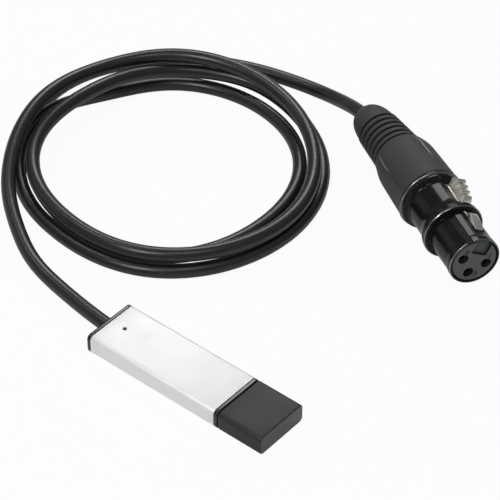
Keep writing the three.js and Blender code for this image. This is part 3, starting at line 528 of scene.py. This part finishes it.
def walled(piece, thickness):
    wall = piece.modifiers.new("wall", "SOLIDIFY")
    wall.thickness = thickness * mm
    wall.offset = -1
    settled(piece)


def edged(piece, width, angle):
    bevel = piece.modifiers.new("edges", "BEVEL")
    bevel.width = width * mm
    bevel.segments = 2
    bevel.limit_method = "ANGLE"
    bevel.angle_limit = math.radians(angle)
    settled(piece)
    smoothed(piece)
    return piece


def merged(piece, operation, meshes):
    tools = [linked(f"tool{number}", mesh) for number, mesh in enumerate(meshes)]
    for tool in tools:
        boolean = piece.modifiers.new("boolean", "BOOLEAN")
        boolean.operation = operation
        boolean.solver = "EXACT"
        boolean.object = tool
    settled(piece)
    for tool in tools:
        bpy.data.objects.remove(tool)


def tidied(mesh, place=None):       # one point where several lie, and every face turned outwards
    bm = bmesh.new()
    bm.from_mesh(mesh)
    bmesh.ops.remove_doubles(bm, verts=bm.verts, dist=tiny * mm)
    bmesh.ops.transform(bm, matrix=place or Matrix(), verts=bm.verts)
    bmesh.ops.recalc_face_normals(bm, faces=bm.faces)
    bm.to_mesh(mesh)
    bm.free()


def carved(piece, cutters):
    merged(piece, "DIFFERENCE", cutters)
    tidied(piece.data)


def bent(start, middle, end, steps):       # from start to end, drawn towards the middle
    return [start * (1 - t) ** 2 + middle * 2 * t * (1 - t) + end * t ** 2
            for t in (step / steps for step in range(steps + 1))]


def roundCorners(corners, steps=5):       # a line of (radius, station, rounding) with its corners rounded
    line = []
    last = len(corners) - 1
    for i, (radius, station, rounding) in enumerate(corners):
        here = Vector((radius, station))
        if i in (0, last) or not rounding:
            line.append(here)
            continue
        back = Vector(corners[i - 1][:2]) - here
        ahead = Vector(corners[i + 1][:2]) - here
        start = here + back.normalized() * min(rounding, back.length * 0.48)
        end = here + ahead.normalized() * min(rounding, ahead.length * 0.48)
        line += bent(start, here, end, steps)
    return line


def vertsOf(geometry):
    return [v for v in geometry if isinstance(v, bmesh.types.BMVert)]


def sliced(bm, place, normal, **options):
    return bmesh.ops.bisect_plane(bm, geom=bm.verts[:] + bm.edges[:] + bm.faces[:], dist=1e-6,
                                  plane_co=place, plane_no=normal, **options)


def bevelled(bm, edges, offset, segments):
    bmesh.ops.bevel(bm, geom=edges, offset=offset, offset_type="OFFSET", segments=segments,
                    profile=0.5, affect="EDGES", material=-1, clamp_overlap=True)


def spun(line, steps):       # closed line of (radius, station) turned about the connector's axis
    bm = bmesh.new()
    points = [bm.verts.new((p[0], 0, -p[1])) for p in line]
    edges = [bm.edges.new(pair) for pair in zip(points, points[1:] + points[:1])]
    bmesh.ops.spin(bm, geom=points + edges, cent=(0, 0, 0), axis=(0, 0, 1), dvec=(0, 0, 0),
                   angle=2 * math.pi, steps=steps, use_merge=True)
    bmesh.ops.remove_doubles(bm, verts=bm.verts, dist=1e-5)
    return bm


def boxBm(low, high):
    bm = bmesh.new()
    bmesh.ops.create_cube(bm, size=1)
    bmesh.ops.scale(bm, vec=Vector(high) - Vector(low), verts=bm.verts)
    bmesh.ops.translate(bm, vec=(Vector(high) + Vector(low)) / 2, verts=bm.verts)
    return bm


def rodBm(radius, near, far, sides, x=0, y=0):       # round bar between two stations
    bm = bmesh.new()
    bmesh.ops.create_cone(bm, cap_ends=True, segments=sides, radius1=radius, radius2=radius, depth=far - near)
    bmesh.ops.translate(bm, vec=(x, y, -(far + near) / 2), verts=bm.verts)
    return bm


def addCable():
    line = cableLine()
    curve = bpy.data.curves.new("cableJacket", "CURVE")
    curve.dimensions = "3D"
    curve.bevel_depth = cable["diameter"] / 2 * mm
    curve.bevel_resolution = cable["sideSteps"]
    curve.resolution_u = cable["lengthSteps"]
    curve.use_fill_caps = True
    curve.twist_mode = "Z_UP"
    spline = curve.splines.new("BEZIER")
    spline.bezier_points.add(len(line) - 1)
    for knot, point in zip(spline.bezier_points, line):
        knot.co = point
        knot.handle_left_type = knot.handle_right_type = "AUTO"
    piece = linked("cableJacket", curve)
    curve.materials.append(finishes["cableBlack"])
    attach(piece, mainBody)
    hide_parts("cable_lead_dongle", "cable_coil", "cable_lead_xlr")
    length = sum((b - a).length for a, b in zip(line, line[1:]))
    print("cable length", round(length, 4), "m on", len(line), "points")
    return piece, length


jacket, jacketLength = addCable()

# Dongle
dongle = {
    "width": 18, "height": 6.3, "corner": 1.5, "cornerSteps": 8,
    "rear": -31.5, "sleeveRear": -30.3, "sleeveFront": 15.0, "collarFront": 16.2, "capRear": 16.5, "capFront": 31.5,
    "seam": 0.1, "wall": 0.6, "sleeveEdge": 0.07, "plateEdge": 0.25, "plateEdgeSteps": 3,
    "lightHole": (-25.3, 0.62), "lightHoleSides": 32, "lightHolePatch": 1.6, "lightHoleRing": 1.3,
    "cableHole": 2.5, "cableHoleReach": 6, "cableHoleSides": 64,
    "cheek": 2.0, "collarCheek": 3.0, "cheekGap": 0.3, "cheekLap": 0.6, "cheekCorner": 0.9, "cheekCornerSteps": 4,
    "capEnd": 1.6, "capWall": 1.2, "capRoof": 0.6, "capEdge": 0.35, "capEdgeSteps": 4,
    "mouthEdge": 0.25, "mouthEdgeSteps": 3,
}
plug = {
    "width": 12, "height": 4.5, "corner": 0.5, "cornerSteps": 5, "wall": 0.3, "edge": 0.05, "rear": 9.4, "tip": 28.2,
    "windowMiddle": 21.8, "windowLength": 2.5, "windowWidth": 2, "windowSpacing": 5.6,
    "clearance": 0.3, "slotCornerSteps": 4, "slotBehind": 6, "slotAhead": 2,
}


def barBm(rear, front, width, height, corner, steps):       # bar along X with round long edges
    bm = boxBm((rear, -width / 2, 0), (front, width / 2, height))
    bmesh.ops.translate(bm, vec=(0, 0, (dongle["height"] - height) / 2), verts=bm.verts)
    long = [e for e in bm.edges if abs(e.verts[0].co.x - e.verts[1].co.x) > tiny]
    bevelled(bm, long, corner, steps)
    return bm


def dongleBar(rear, front):
    return barBm(rear, front, dongle["width"], dongle["height"], dongle["corner"], dongle["cornerSteps"])


def atX(elements, x):
    return [e for e in elements if all(abs(v.co.x - x) < tiny for v in e.verts)]


def roundHole(bm, x, radius, patch, sides):       # opens a round hole in the flat top
    middle = Vector((x, 0, dongle["height"]))
    for side in (-1, 1):
        sliced(bm, (x + side * patch, 0, 0), (1, 0, 0))
    for side in (-1, 1):
        sliced(bm, (0, side * patch, 0), (0, 1, 0))
    top = [f for f in bm.faces if f.normal.z > 0.99 and (f.calc_center_median() - middle).length < radius / 2]
    border = list(top[0].edges)
    bmesh.ops.delete(bm, geom=top, context="FACES_ONLY")
    bmesh.ops.subdivide_edges(bm, edges=border, cuts=sides // 4 - 1)
    square = [e for e in bm.edges if e.is_boundary and all(
        abs(v.co.z - dongle["height"]) < tiny and abs(v.co.x - x) < patch + tiny for v in e.verts)]
    ring = bmesh.ops.create_circle(bm, segments=sides, radius=radius, matrix=Matrix.Translation(middle))
    circle = list({e for v in ring["verts"] for e in v.link_edges})
    bridged = bmesh.ops.bridge_loops(bm, edges=square + circle)
    spokes = {e for face in bridged["faces"] for e in face.edges} - set(square) - set(circle)
    fresh = vertsOf(bmesh.ops.bisect_edges(bm, edges=list(spokes), cuts=1)["geom_split"])
    for v in fresh:       # a ring close to the hole keeps the flat top's shading flat
        v.co = middle + (v.co - middle).normalized() * radius * dongle["lightHoleRing"]
    for face in bridged["faces"]:
        pair = [v for v in face.verts if v in fresh]
        if len(pair) == 2:
            bmesh.utils.face_split(face, *pair)


def addSleeve():
    rear, front = dongle["sleeveRear"] + dongle["seam"], dongle["sleeveFront"] - dongle["seam"]
    bm = dongleBar(rear, front)
    bmesh.ops.delete(bm, geom=atX(bm.faces, rear) + atX(bm.faces, front), context="FACES_ONLY")
    roundHole(bm, *dongle["lightHole"], dongle["lightHolePatch"], dongle["lightHoleSides"])
    sleeve = addPiece("sleeveDrawn", toMesh("sleeveDrawn", bm), "aluminium", mainBody, ["case_sleeve"])
    walled(sleeve, dongle["wall"])
    edged(sleeve, dongle["sleeveEdge"], angle=50)


def addEnd(name, plate, cheeks, opening, node):       # end plate with cheeks inside the sleeve
    bm = dongleBar(*plate)
    rims = atX(bm.edges, plate[0]) + atX(bm.edges, plate[1])
    bevelled(bm, rims, dongle["plateEdge"], dongle["plateEdgeSteps"])
    inside = 2 * (dongle["wall"] + dongle["cheekGap"])
    tail = barBm(*cheeks, dongle["width"] - inside, dongle["height"] - inside,
                 dongle["cheekCorner"], dongle["cheekCornerSteps"])
    piece = addPiece(name, toMesh(name, bm), "glossBlack", mainBody, [node])
    merged(piece, "UNION", [toMesh("cheeks", tail)])
    carved(piece, [toMesh("opening", opening)])
    smoothed(piece)


def addEnds():
    reach = dongle["cableHoleReach"]
    hole = rodBm(dongle["cableHole"], -reach, reach, dongle["cableHoleSides"])
    bmesh.ops.rotate(hole, matrix=Matrix.Rotation(math.pi / 2, 3, "Y"), verts=hole.verts)
    bmesh.ops.translate(hole, vec=(dongle["sleeveRear"], 0, dongle["height"] / 2), verts=hole.verts)
    addEnd("rearPlate", (dongle["rear"], dongle["sleeveRear"]),
           (dongle["sleeveRear"] - dongle["cheekLap"], dongle["sleeveRear"] + dongle["cheek"]),
           hole, "rear_end_cap")
    gap = plug["clearance"]
    slotBar = barBm(dongle["sleeveFront"] - plug["slotBehind"], dongle["collarFront"] + plug["slotAhead"],
                    plug["width"] + 2 * gap, plug["height"] + 2 * gap, plug["corner"] + gap, plug["slotCornerSteps"])
    addEnd("collarPlate", (dongle["sleeveFront"], dongle["collarFront"]),
           (dongle["sleeveFront"] - dongle["collarCheek"], dongle["collarFront"] - dongle["cheekLap"]),
           slotBar, "front_collar")


def addPlugCap():
    rear, front = dongle["capRear"], dongle["capFront"]
    bm = dongleBar(rear, front)
    bevelled(bm, atX(bm.edges, front), dongle["capEdge"], dongle["capEdgeSteps"])
    bevelled(bm, atX(bm.edges, rear), dongle["mouthEdge"], dongle["mouthEdgeSteps"])
    mouth = atX(bm.faces, rear)
    bmesh.ops.inset_region(bm, faces=mouth, thickness=dongle["capRoof"] - dongle["mouthEdge"])
    corners = {v for face in mouth for v in face.verts}
    sideShare = (dongle["width"] / 2 - dongle["capWall"]) / max(abs(v.co.y) for v in corners)
    for v in corners:
        v.co.y *= sideShare
    deep = bmesh.ops.extrude_face_region(bm, geom=mouth)
    bmesh.ops.translate(bm, vec=(front - dongle["capEnd"] - rear, 0, 0), verts=vertsOf(deep["geom"]))
    bmesh.ops.delete(bm, geom=mouth, context="FACES_ONLY")       # the hollow is open at the mouth
    piece = addPiece("plugCap", toMesh("plugCap", bm), "capBlack", capBody, ["usb_cap"])
    # the end face takes the lighter, glossier copy of the cap finish: painted light
    marked(piece, "capEnd", lambda face: face.normal.x > 0.9 and face.center.x / mm > front - 0.1)


def addPlugShell():
    bm = barBm(plug["rear"], plug["tip"], plug["width"], plug["height"], plug["corner"], plug["cornerSteps"])
    bmesh.ops.delete(bm, geom=atX(bm.faces, plug["rear"]) + atX(bm.faces, plug["tip"]), context="FACES_ONLY")
    x, y = plug["windowMiddle"], plug["windowSpacing"] / 2
    halfLength, halfWidth = plug["windowLength"] / 2, plug["windowWidth"] / 2
    for edge in (-1, 1):
        sliced(bm, (x + edge * halfLength, 0, 0), (1, 0, 0))
    for side in (-1, 1):
        for edge in (-1, 1):
            sliced(bm, (0, side * y + edge * halfWidth, 0), (0, 1, 0))
    windows = []
    for face in bm.faces:
        middle = face.calc_center_median()
        if abs(face.normal.z) > 0.9 and abs(middle.x - x) < halfLength and abs(abs(middle.y) - y) < halfWidth:
            windows.append(face)
    bmesh.ops.delete(bm, geom=windows, context="FACES_ONLY")
    shell = addPiece("plugShell", toMesh("plugShell", bm), "plugSteel", mainBody, ["usb_plug_shell"])
    walled(shell, plug["wall"])
    edged(shell, plug["edge"], angle=50)


addSleeve()
addEnds()
addPlugCap()
addPlugShell()
print("dongle made")

# Connector
shell = {
    "steps": 160, "sharp": 30,
    "outside": [
        (7.2, 0, 0), (7.75, 0, 0.12), (7.9, 0.25, 0.15), (7.9, 1.9, 0.3), (7.68, 2.7, 0.5), (7.7, 13.6, 0.25),
        (8.8, 13.6, 0.15), (9.4, 14.15, 0.7), (9.45, 15, 0.3), (9.2, 15.35, 0.15), (9.3, 15.7, 0.25),
        (9.2, 16.4, 0.4), (8.7, 17.3, 0.6), (8.24, 19, 1), (8.24, 27.3, 0.5), (9, 28, 0.3), (9.75, 28.4, 0.2),
        (9.75, 29.1, 0.1), (9.35, 29.25, 0.1), (9.8, 29.3, 0.1), (10.2, 29.75, 0.4), (10.2, 30.25, 0.15),
        (10.05, 30.4, 0.1), (8.1, 30.4, 0)],
    "inside": [(8.1, 26.6, 0), (7.2, 25.7, 0)],
    "hookSlot": (4.2, 13.6), "window": (14.8, 25.3), "slotHalf": 1.9, "slotFloor": 6.2, "slotTop": 12,
    "tunnelRoof": 8.4, "tunnelEnd": 26.9,
    "rims": [(7.6, 0.35), (9.05, 14.35), (9.95, 29.55)], "rimReach": 0.36,
    "keywayWidth": 2.0, "keywayFloor": 7.4, "keywayTop": 9, "keywayAngle": 40, "keywayLength": 13.5,
}
insert = {
    "radius": 6.9, "recess": 0.1, "rear": 26.2, "sides": 96, "edge": 0.25, "edgeSteps": 3, "sharp": 30,
    "notchHalf": 2.6, "notchFloor": 2.45, "notchDepth": 0.8, "notchSlack": 0.02, "notchReach": 6.6,
    "channelFloor": 4.9, "channelStart": 4.2,
    "mouth": 1.6, "lip": 1.2, "hole": 1.7, "holeLap": 0.1, "holeSides": 40, "pitch": 4.1,
    "numerals": {"1": (4.1, 2.15), "2": (-4.1, 2.15), "3": (2.55, -4.3)},
    "numeralSize": 2.3, "numeralHeight": 0.06, "numeralWeight": 0.2,
}
lever = {
    "width": 2.9, "edge": 0.12, "underside": 7, "top": 8, "tail": 26.6,
    "hook": [(5.2, 7.6), (6.2, 8.3), (9.0, 9.1), (10.8, 9.2)],
    "plateWidth": 3.5, "plate": [(24.9, 7), (14.95, 7), (14.95, 8.3), (15.4, 8.5), (24.4, 8.8), (24.9, 8.5)],
    "lip": (15.0, 8.5, 0.35),
    "teeth": [(16.6, 11.2), (18.5, 11.8), (20.4, 12.35), (22.3, 12.9)], "firstDrop": 1.1,
    "toothShape": [(-0.75, -0.95), (-0.7, -0.3), (-0.35, 0), (0.3, 0), (0.65, -0.3), (0.8, -0.85)],
    "tabRear": [(23.6, 12.2), (24.7, 11.6)],
}


def sideProfile(bm, outline, halfWidth):       # (station, height) outline pushed out to both sides
    face = bm.faces.new([bm.verts.new((-halfWidth, height, -station)) for station, height in outline])
    pushed = bmesh.ops.extrude_face_region(bm, geom=[face])
    bmesh.ops.translate(bm, vec=(2 * halfWidth, 0, 0), verts=vertsOf(pushed["geom"]))
    bmesh.ops.recalc_face_normals(bm, faces=bm.faces)
    return bm


def rolledBlock(across, up, stations, turn=0):
    bm = boxBm((across[0], up[0], -stations[1]), (across[1], up[1], -stations[0]))
    bmesh.ops.rotate(bm, matrix=Matrix.Rotation(math.radians(turn), 3, "Z"), verts=bm.verts)
    return toMesh("block", bm, rolledPlace)


def addShell():
    line = roundCorners(shell["outside"]) + roundCorners(shell["inside"])
    piece = addPiece("shellTurned", toMesh("shellTurned", spun(line, shell["steps"]), rolledPlace),
                     "shellBlack", mainBody, ["xlr_shell"])
    floor, roof, top, end = shell["slotFloor"], shell["tunnelRoof"], shell["slotTop"], shell["tunnelEnd"]
    hookFront, hookRear = shell["hookSlot"]
    front, rear = shell["window"]
    slot = [(hookFront, floor), (end, floor), (end, roof), (rear, roof), (rear, top),
            (front, top), (front, roof), (hookRear, roof), (hookRear, top), (hookFront, top)]
    keyHalf = shell["keywayWidth"] / 2
    carved(piece, [
        toMesh("slot", sideProfile(bmesh.new(), slot, shell["slotHalf"]), rolledPlace),
        rolledBlock((-keyHalf, keyHalf), (shell["keywayFloor"], shell["keywayTop"]),
                    (-overrun, shell["keywayLength"]), turn=shell["keywayAngle"]),
    ])
    toFace = rolledPlace.inverted()

    def onRim(face):
        x, y, z = toFace @ (face.center / mm)
        spot = Vector((math.hypot(x, y), -z))
        return any((spot - Vector(rim)).length < shell["rimReach"] for rim in shell["rims"])

    # the ring-edge bands take the lighter metal: painted sheen
    marked(piece, "shellRimPaintedSheen", onRim)
    smoothed(piece, shell["sharp"])
    normals = piece.modifiers.new("normals", "WEIGHTED_NORMAL")      # big faces lead, so the cuts leave no dark wedges
    normals.keep_sharp = True
    return settled(piece)


def addInsert():
    radius, recess, rear, depth = insert["radius"], insert["recess"], insert["rear"], insert["notchDepth"]
    bm = rodBm(radius, recess, rear, insert["sides"])
    front = [e for e in bm.edges if all(abs(v.co.z + recess) < tiny for v in e.verts)]
    bevelled(bm, front, insert["edge"], insert["edgeSteps"])
    piece = addPiece("insertFace", toMesh("insertFace", bm, rolledPlace), "insertGrey",
                     mainBody, ["xlr_insert"])
    sides = (-insert["notchHalf"], insert["notchHalf"])
    cutters = [
        rolledBlock(sides, (insert["notchFloor"], radius + overrun), (-overrun, recess + depth)),
        rolledBlock(sides, (insert["channelFloor"], radius + overrun), (insert["channelStart"], rear + overrun)),
    ]
    pitch, lip = insert["pitch"], recess + insert["lip"]
    for x, y in ((pitch, 0), (-pitch, 0), (0, -pitch)):
        for size, near, far in ((insert["mouth"], -overrun, lip + insert["holeLap"]),
                                (insert["hole"], lip, rear + overrun)):
            cutters.append(toMesh("hole", rodBm(size, near, far, insert["holeSides"], x, y), rolledPlace))
    carved(piece, cutters)
    toFace = rolledPlace.inverted()
    forward = rolledPlace.to_3x3() @ Vector((0, 0, 1))

    def insertSpot(face):       # distance from the insert's axis and depth below its face
        x, y, z = toFace @ (face.center / mm)
        return math.hypot(x, y), -z - recess

    def onNotchFloor(face):
        return abs(insertSpot(face)[1] - depth) < insert["notchSlack"]

    def onNotchWall(face):
        reach, below = insertSpot(face)
        upright = abs(face.normal.dot(forward)) < 0.1
        return upright and below <= depth - insert["notchSlack"] and reach < insert["notchReach"]

    marked(piece, "keyGrey", onNotchFloor)
    # the notch walls are painted near-black: painted shade
    marked(piece, "paintedShadeBlack", onNotchWall)
    smoothed(piece, insert["sharp"])
    return piece


def addNumeral(figure, x, y):
    text = bpy.data.curves.new("numeral" + figure, "FONT")
    text.body = figure
    text.size = insert["numeralSize"] * mm
    text.align_x = "CENTER"
    text.align_y = "CENTER"
    text.extrude = insert["numeralHeight"] / 2 * mm
    text.offset = insert["numeralWeight"] * mm
    source = linked("numeralSource", text)
    mesh = bpy.data.meshes.new_from_object(source.evaluated_get(bpy.context.evaluated_depsgraph_get()))
    bpy.data.objects.remove(source)
    place = rolledPlace @ Matrix.Translation((x, y, -insert["recess"]))
    tidied(mesh, Matrix.Scale(mm, 4) @ place @ Matrix.Scale(1 / mm, 4))
    mesh.materials.clear()
    return addPiece("numeral" + figure, mesh, "numeralGrey", mainBody)


def leverOutline():       # (station, height) round the lever's side, with a bar for each tooth
    top = lever["top"]
    front, lipHeight, lipDepth = lever["lip"]
    line = [(lever["tail"], lever["underside"]), (lever["hook"][0][0], lever["underside"]), *lever["hook"],
            (lever["hook"][-1][0], top), (front, top), (front, lipHeight), (front + lipDepth, lipHeight)]
    last = len(lever["teeth"]) - 1
    for number, (station, height) in enumerate(lever["teeth"]):
        shape = lever["toothShape"]
        if number == 0:
            line.append((front + lipDepth, height - lever["firstDrop"]))
            shape = shape[1:]
        if number == last:
            shape = shape[:-1]
        line += [(station + along, height + rise) for along, rise in shape]
    return line + [*lever["tabRear"], (lever["tabRear"][-1][0], top), (lever["tail"], top)]


def addLever():
    bm = sideProfile(bmesh.new(), leverOutline(), lever["width"] / 2)
    sideProfile(bm, lever["plate"], lever["plateWidth"] / 2)
    piece = addPiece("latchTab", toMesh("latchTab", bm, rolledPlace), "latchSilver",
                     latchBody, ["latch_lever"])
    return edged(piece, lever["edge"], angle=25)


def bootRadius(station):
    shoulder, waist = boot["shoulder"], boot["waist"]
    if station < shoulder[0]:
        share = (station - boot["front"]) / (shoulder[0] - boot["front"])
        return boot["frontRadius"] + (shoulder[1] - boot["frontRadius"]) * share
    if station < waist[0]:
        return shoulder[1] + (waist[1] - shoulder[1]) * smoothShare(station, shoulder[0], waist[0])
    share = (station - waist[0]) / (boot["noseStart"] - waist[0])
    return waist[1] + (boot["ribEndRadius"] - waist[1]) * share


def bootLine():
    front, rim, steps = boot["front"], boot["frontRim"], boot["smoothSteps"]
    corners = [(boot["frontRadius"] - rim, front, 0), (boot["frontRadius"], front + rim, boot["frontRounding"])]
    smoothEnd = boot["grooveStart"] - boot["grooveWidth"]
    for step in range(1, steps + 1):
        station = front + 2 * rim + (smoothEnd - front - 2 * rim) * step / steps
        corners.append((bootRadius(station), station, 0))
    half = boot["grooveWidth"] / 2
    floorHalf = half * boot["grooveFloor"]
    for groove in range(boot["grooves"]):
        station = boot["grooveStart"] + groove * boot["groovePitch"]
        floor = bootRadius(station) - boot["grooveDepth"]
        corners += [(bootRadius(station - half), station - half, boot["ribRounding"]),
                    (floor, station - floorHalf, boot["floorRounding"]),
                    (floor, station + floorHalf, boot["floorRounding"]),
                    (bootRadius(station + half), station + half, boot["ribRounding"])]
    corners.append((bootRadius(boot["noseStart"]), boot["noseStart"] - boot["ribEndBack"], boot["ribEndRounding"]))
    start = Vector((boot["noseRadius"], boot["noseStart"]))
    bulge = Vector((boot["noseBulge"], boot["noseEnd"] - boot["noseBack"]))
    end = Vector((boot["bore"] + boot["noseLip"], boot["noseEnd"]))
    corners += [(point.x, point.y, 0) for point in bent(start, bulge, end, boot["noseSteps"])]
    taperStart, taperEnd = boot["cavityTaper"]
    neckFront = front - boot["neckLength"]
    inside = [(boot["bore"], boot["noseEnd"] - boot["noseLip"]), (boot["bore"], taperEnd),
              (boot["cavityEndRadius"], taperEnd), (boot["cavityRadius"], taperStart),
              (boot["cavityRadius"], neckFront), (boot["neckRadius"], neckFront), (boot["neckRadius"], front)]
    return roundCorners(corners, boot["cornerSteps"]) + [Vector(point) for point in inside]


def pressPanel(bm, panel):       # shallow panel on the boot's upper side, its edges crisp
    for angle in panel["angles"]:
        for side in (-1, 1):
            turn = math.radians(angle + side * panel["edge"])
            sliced(bm, (0, 0, 0), (math.cos(turn), -math.sin(turn), 0))
    low, high = panel["angles"]
    front, rear = panel["stations"]
    for v in bm.verts:
        radius = math.hypot(v.co.x, v.co.y)
        angle = math.degrees(math.atan2(v.co.x, v.co.y))
        if radius > boot["neckRadius"] and low < angle < high and front < -v.co.z < rear:
            v.co.xy *= 1 - panel["depth"] / radius


def addBoot():
    bm = spun(bootLine(), boot["steps"])
    for side in (-1, 1):
        cut = sliced(bm, (side * boot["flatDistance"], 0, 0), (side, 0, 0), clear_outer=True)
        rim = [e for e in cut["geom_cut"] if isinstance(e, bmesh.types.BMEdge)]
        bmesh.ops.holes_fill(bm, edges=rim, sides=0)
    panel = boot["panel"]
    pressPanel(bm, panel)
    for v in bm.verts:
        v.co.x += tailLean(-v.co.z)
    piece = addPiece("bootRibbed", toMesh("bootRibbed", bm, levelPlace), "bootGrey",
                     mainBody, ["xlr_boot"], sharp=boot["sharp"])
    toFace = levelPlace.inverted()

    def bootSpot(face):       # station, distance from the boot's axis and angle round it
        x, y, z = toFace @ (face.center / mm)
        x -= tailLean(-z)
        return -z, math.hypot(x, y), math.degrees(math.atan2(x, y))

    def onPanelEdge(face):
        station, radius, angle = bootSpot(face)
        beside = min(abs(angle - side) for side in panel["angles"]) < panel["edge"]
        return beside and panel["stations"][0] < station < panel["stations"][1] and radius > boot["neckRadius"]

    def inGroove(face):
        station, radius, _ = bootSpot(face)
        ribbed = boot["grooveStart"] - boot["grooveWidth"] < station < boot["noseStart"]
        return ribbed and boot["ribFloor"] < radius < bootRadius(station) - boot["grooveDepth"] / 2

    # the panel's edge bands are painted light grey: painted highlight
    marked(piece, "bootEdgePaintedHighlight", onPanelEdge)
    # the groove walls and floors are painted near-black: painted shade
    marked(piece, "paintedShadeBlack", inGroove)
    return piece


shellPiece = addShell()
insertPiece = addInsert()
numeralPieces = [addNumeral(figure, x, y) for figure, (x, y) in insert["numerals"].items()]
leverPiece = addLever()
bootPiece = addBoot()
print("connector made")

cordPieces = [shellPiece, insertPiece, leverPiece, bootPiece, *numeralPieces, "cable_chuck", "latch_spring"]
cordPieces += [f"xlr_socket_{n}" for n in (1, 2, 3)] + [f"xlr_wire_{n}" for n in (1, 2, 3)]

# Room: a white table, a pale surrounding and five soft lamps
room = {
    "floorSize": 6.0,
    "floorSteps": 4,
    "floorColour": (0.8, 0.8, 0.8),
    "seenFloor": 0.95,
    "reflectedFloor": 0.16,
    "surroundings": 0.25,
    "aim": (-0.03, 0.06, 0),
    "lamps": {
        "behind": {"place": (-0.62, 0.9, 0.98), "size": 0.55, "power": 5.2},
        "over": {"place": (-0.72, -0.1, 1.2), "size": 0.35, "power": 1.6},
        "above": {"place": (0.45, -0.3, 1.3), "size": 0.3, "power": 1.8},
        "front": {"place": (0.05, -0.95, 1.05), "size": 0.3, "power": 6.2},
        "left": {"place": (-1.3, -0.45, 0.45), "size": 0.6, "power": 0.4},
    },
}


def addFloor():
    bm = bmesh.new()
    bmesh.ops.create_grid(bm, x_segments=room["floorSteps"], y_segments=room["floorSteps"], size=room["floorSize"] / 2)
    mesh = bpy.data.meshes.new("tableTop")
    bm.to_mesh(mesh)
    bm.free()
    finish = Finish("tableWhite")
    light = finish.tree.nodes.new("ShaderNodeLightPath")
    seen = Signal(finish, light.outputs["Is Camera Ray"])
    mirrored = Signal(finish, light.outputs["Is Glossy Ray"]) + Signal(finish, light.outputs["Is Transmission Ray"])
    paper = finish.node("ShaderNodeBsdfDiffuse", {}, {"Color": room["floorColour"]})
    white = finish.node("ShaderNodeEmission", {}, {"Color": (1, 1, 1), "Strength": 1.0})
    share = seen * room["seenFloor"] + mirrored * room["reflectedFloor"]
    mixed = finish.node("ShaderNodeMixShader", {}, {0: share, 1: paper, 2: white})
    finish.tree.links.new(mixed.socket, finish.output.inputs["Surface"])
    mesh.materials.append(finish.material)
    linked("tableTop", mesh)


def addSurroundings():       # pale in reflections and white to the camera
    world = bpy.data.worlds.new("studio")
    bpy.context.scene.world = world
    world.use_nodes = True
    tree = world.node_tree
    tree.nodes.clear()
    path = tree.nodes.new("ShaderNodeLightPath")
    mixed = tree.nodes.new("ShaderNodeMixShader")
    for socket, strength in ((1, room["surroundings"]), (2, 1)):
        pale = tree.nodes.new("ShaderNodeBackground")
        pale.inputs["Color"].default_value = (1, 1, 1, 1)
        pale.inputs["Strength"].default_value = strength
        tree.links.new(pale.outputs[0], mixed.inputs[socket])
    out = tree.nodes.new("ShaderNodeOutputWorld")
    tree.links.new(path.outputs["Is Camera Ray"], mixed.inputs[0])
    tree.links.new(mixed.outputs[0], out.inputs["Surface"])


def addLamp(name, values):
    data = bpy.data.lights.new(name, "AREA")
    data.shape = "SQUARE"
    data.size = values["size"]
    data.energy = values["power"]
    aimed(linked(name, data), values["place"], room["aim"])


addFloor()
addSurroundings()
for lampName, lampValues in room["lamps"].items():
    addLamp(lampName, lampValues)
bpy.context.scene.view_settings.view_transform = "Standard"
print("room made")
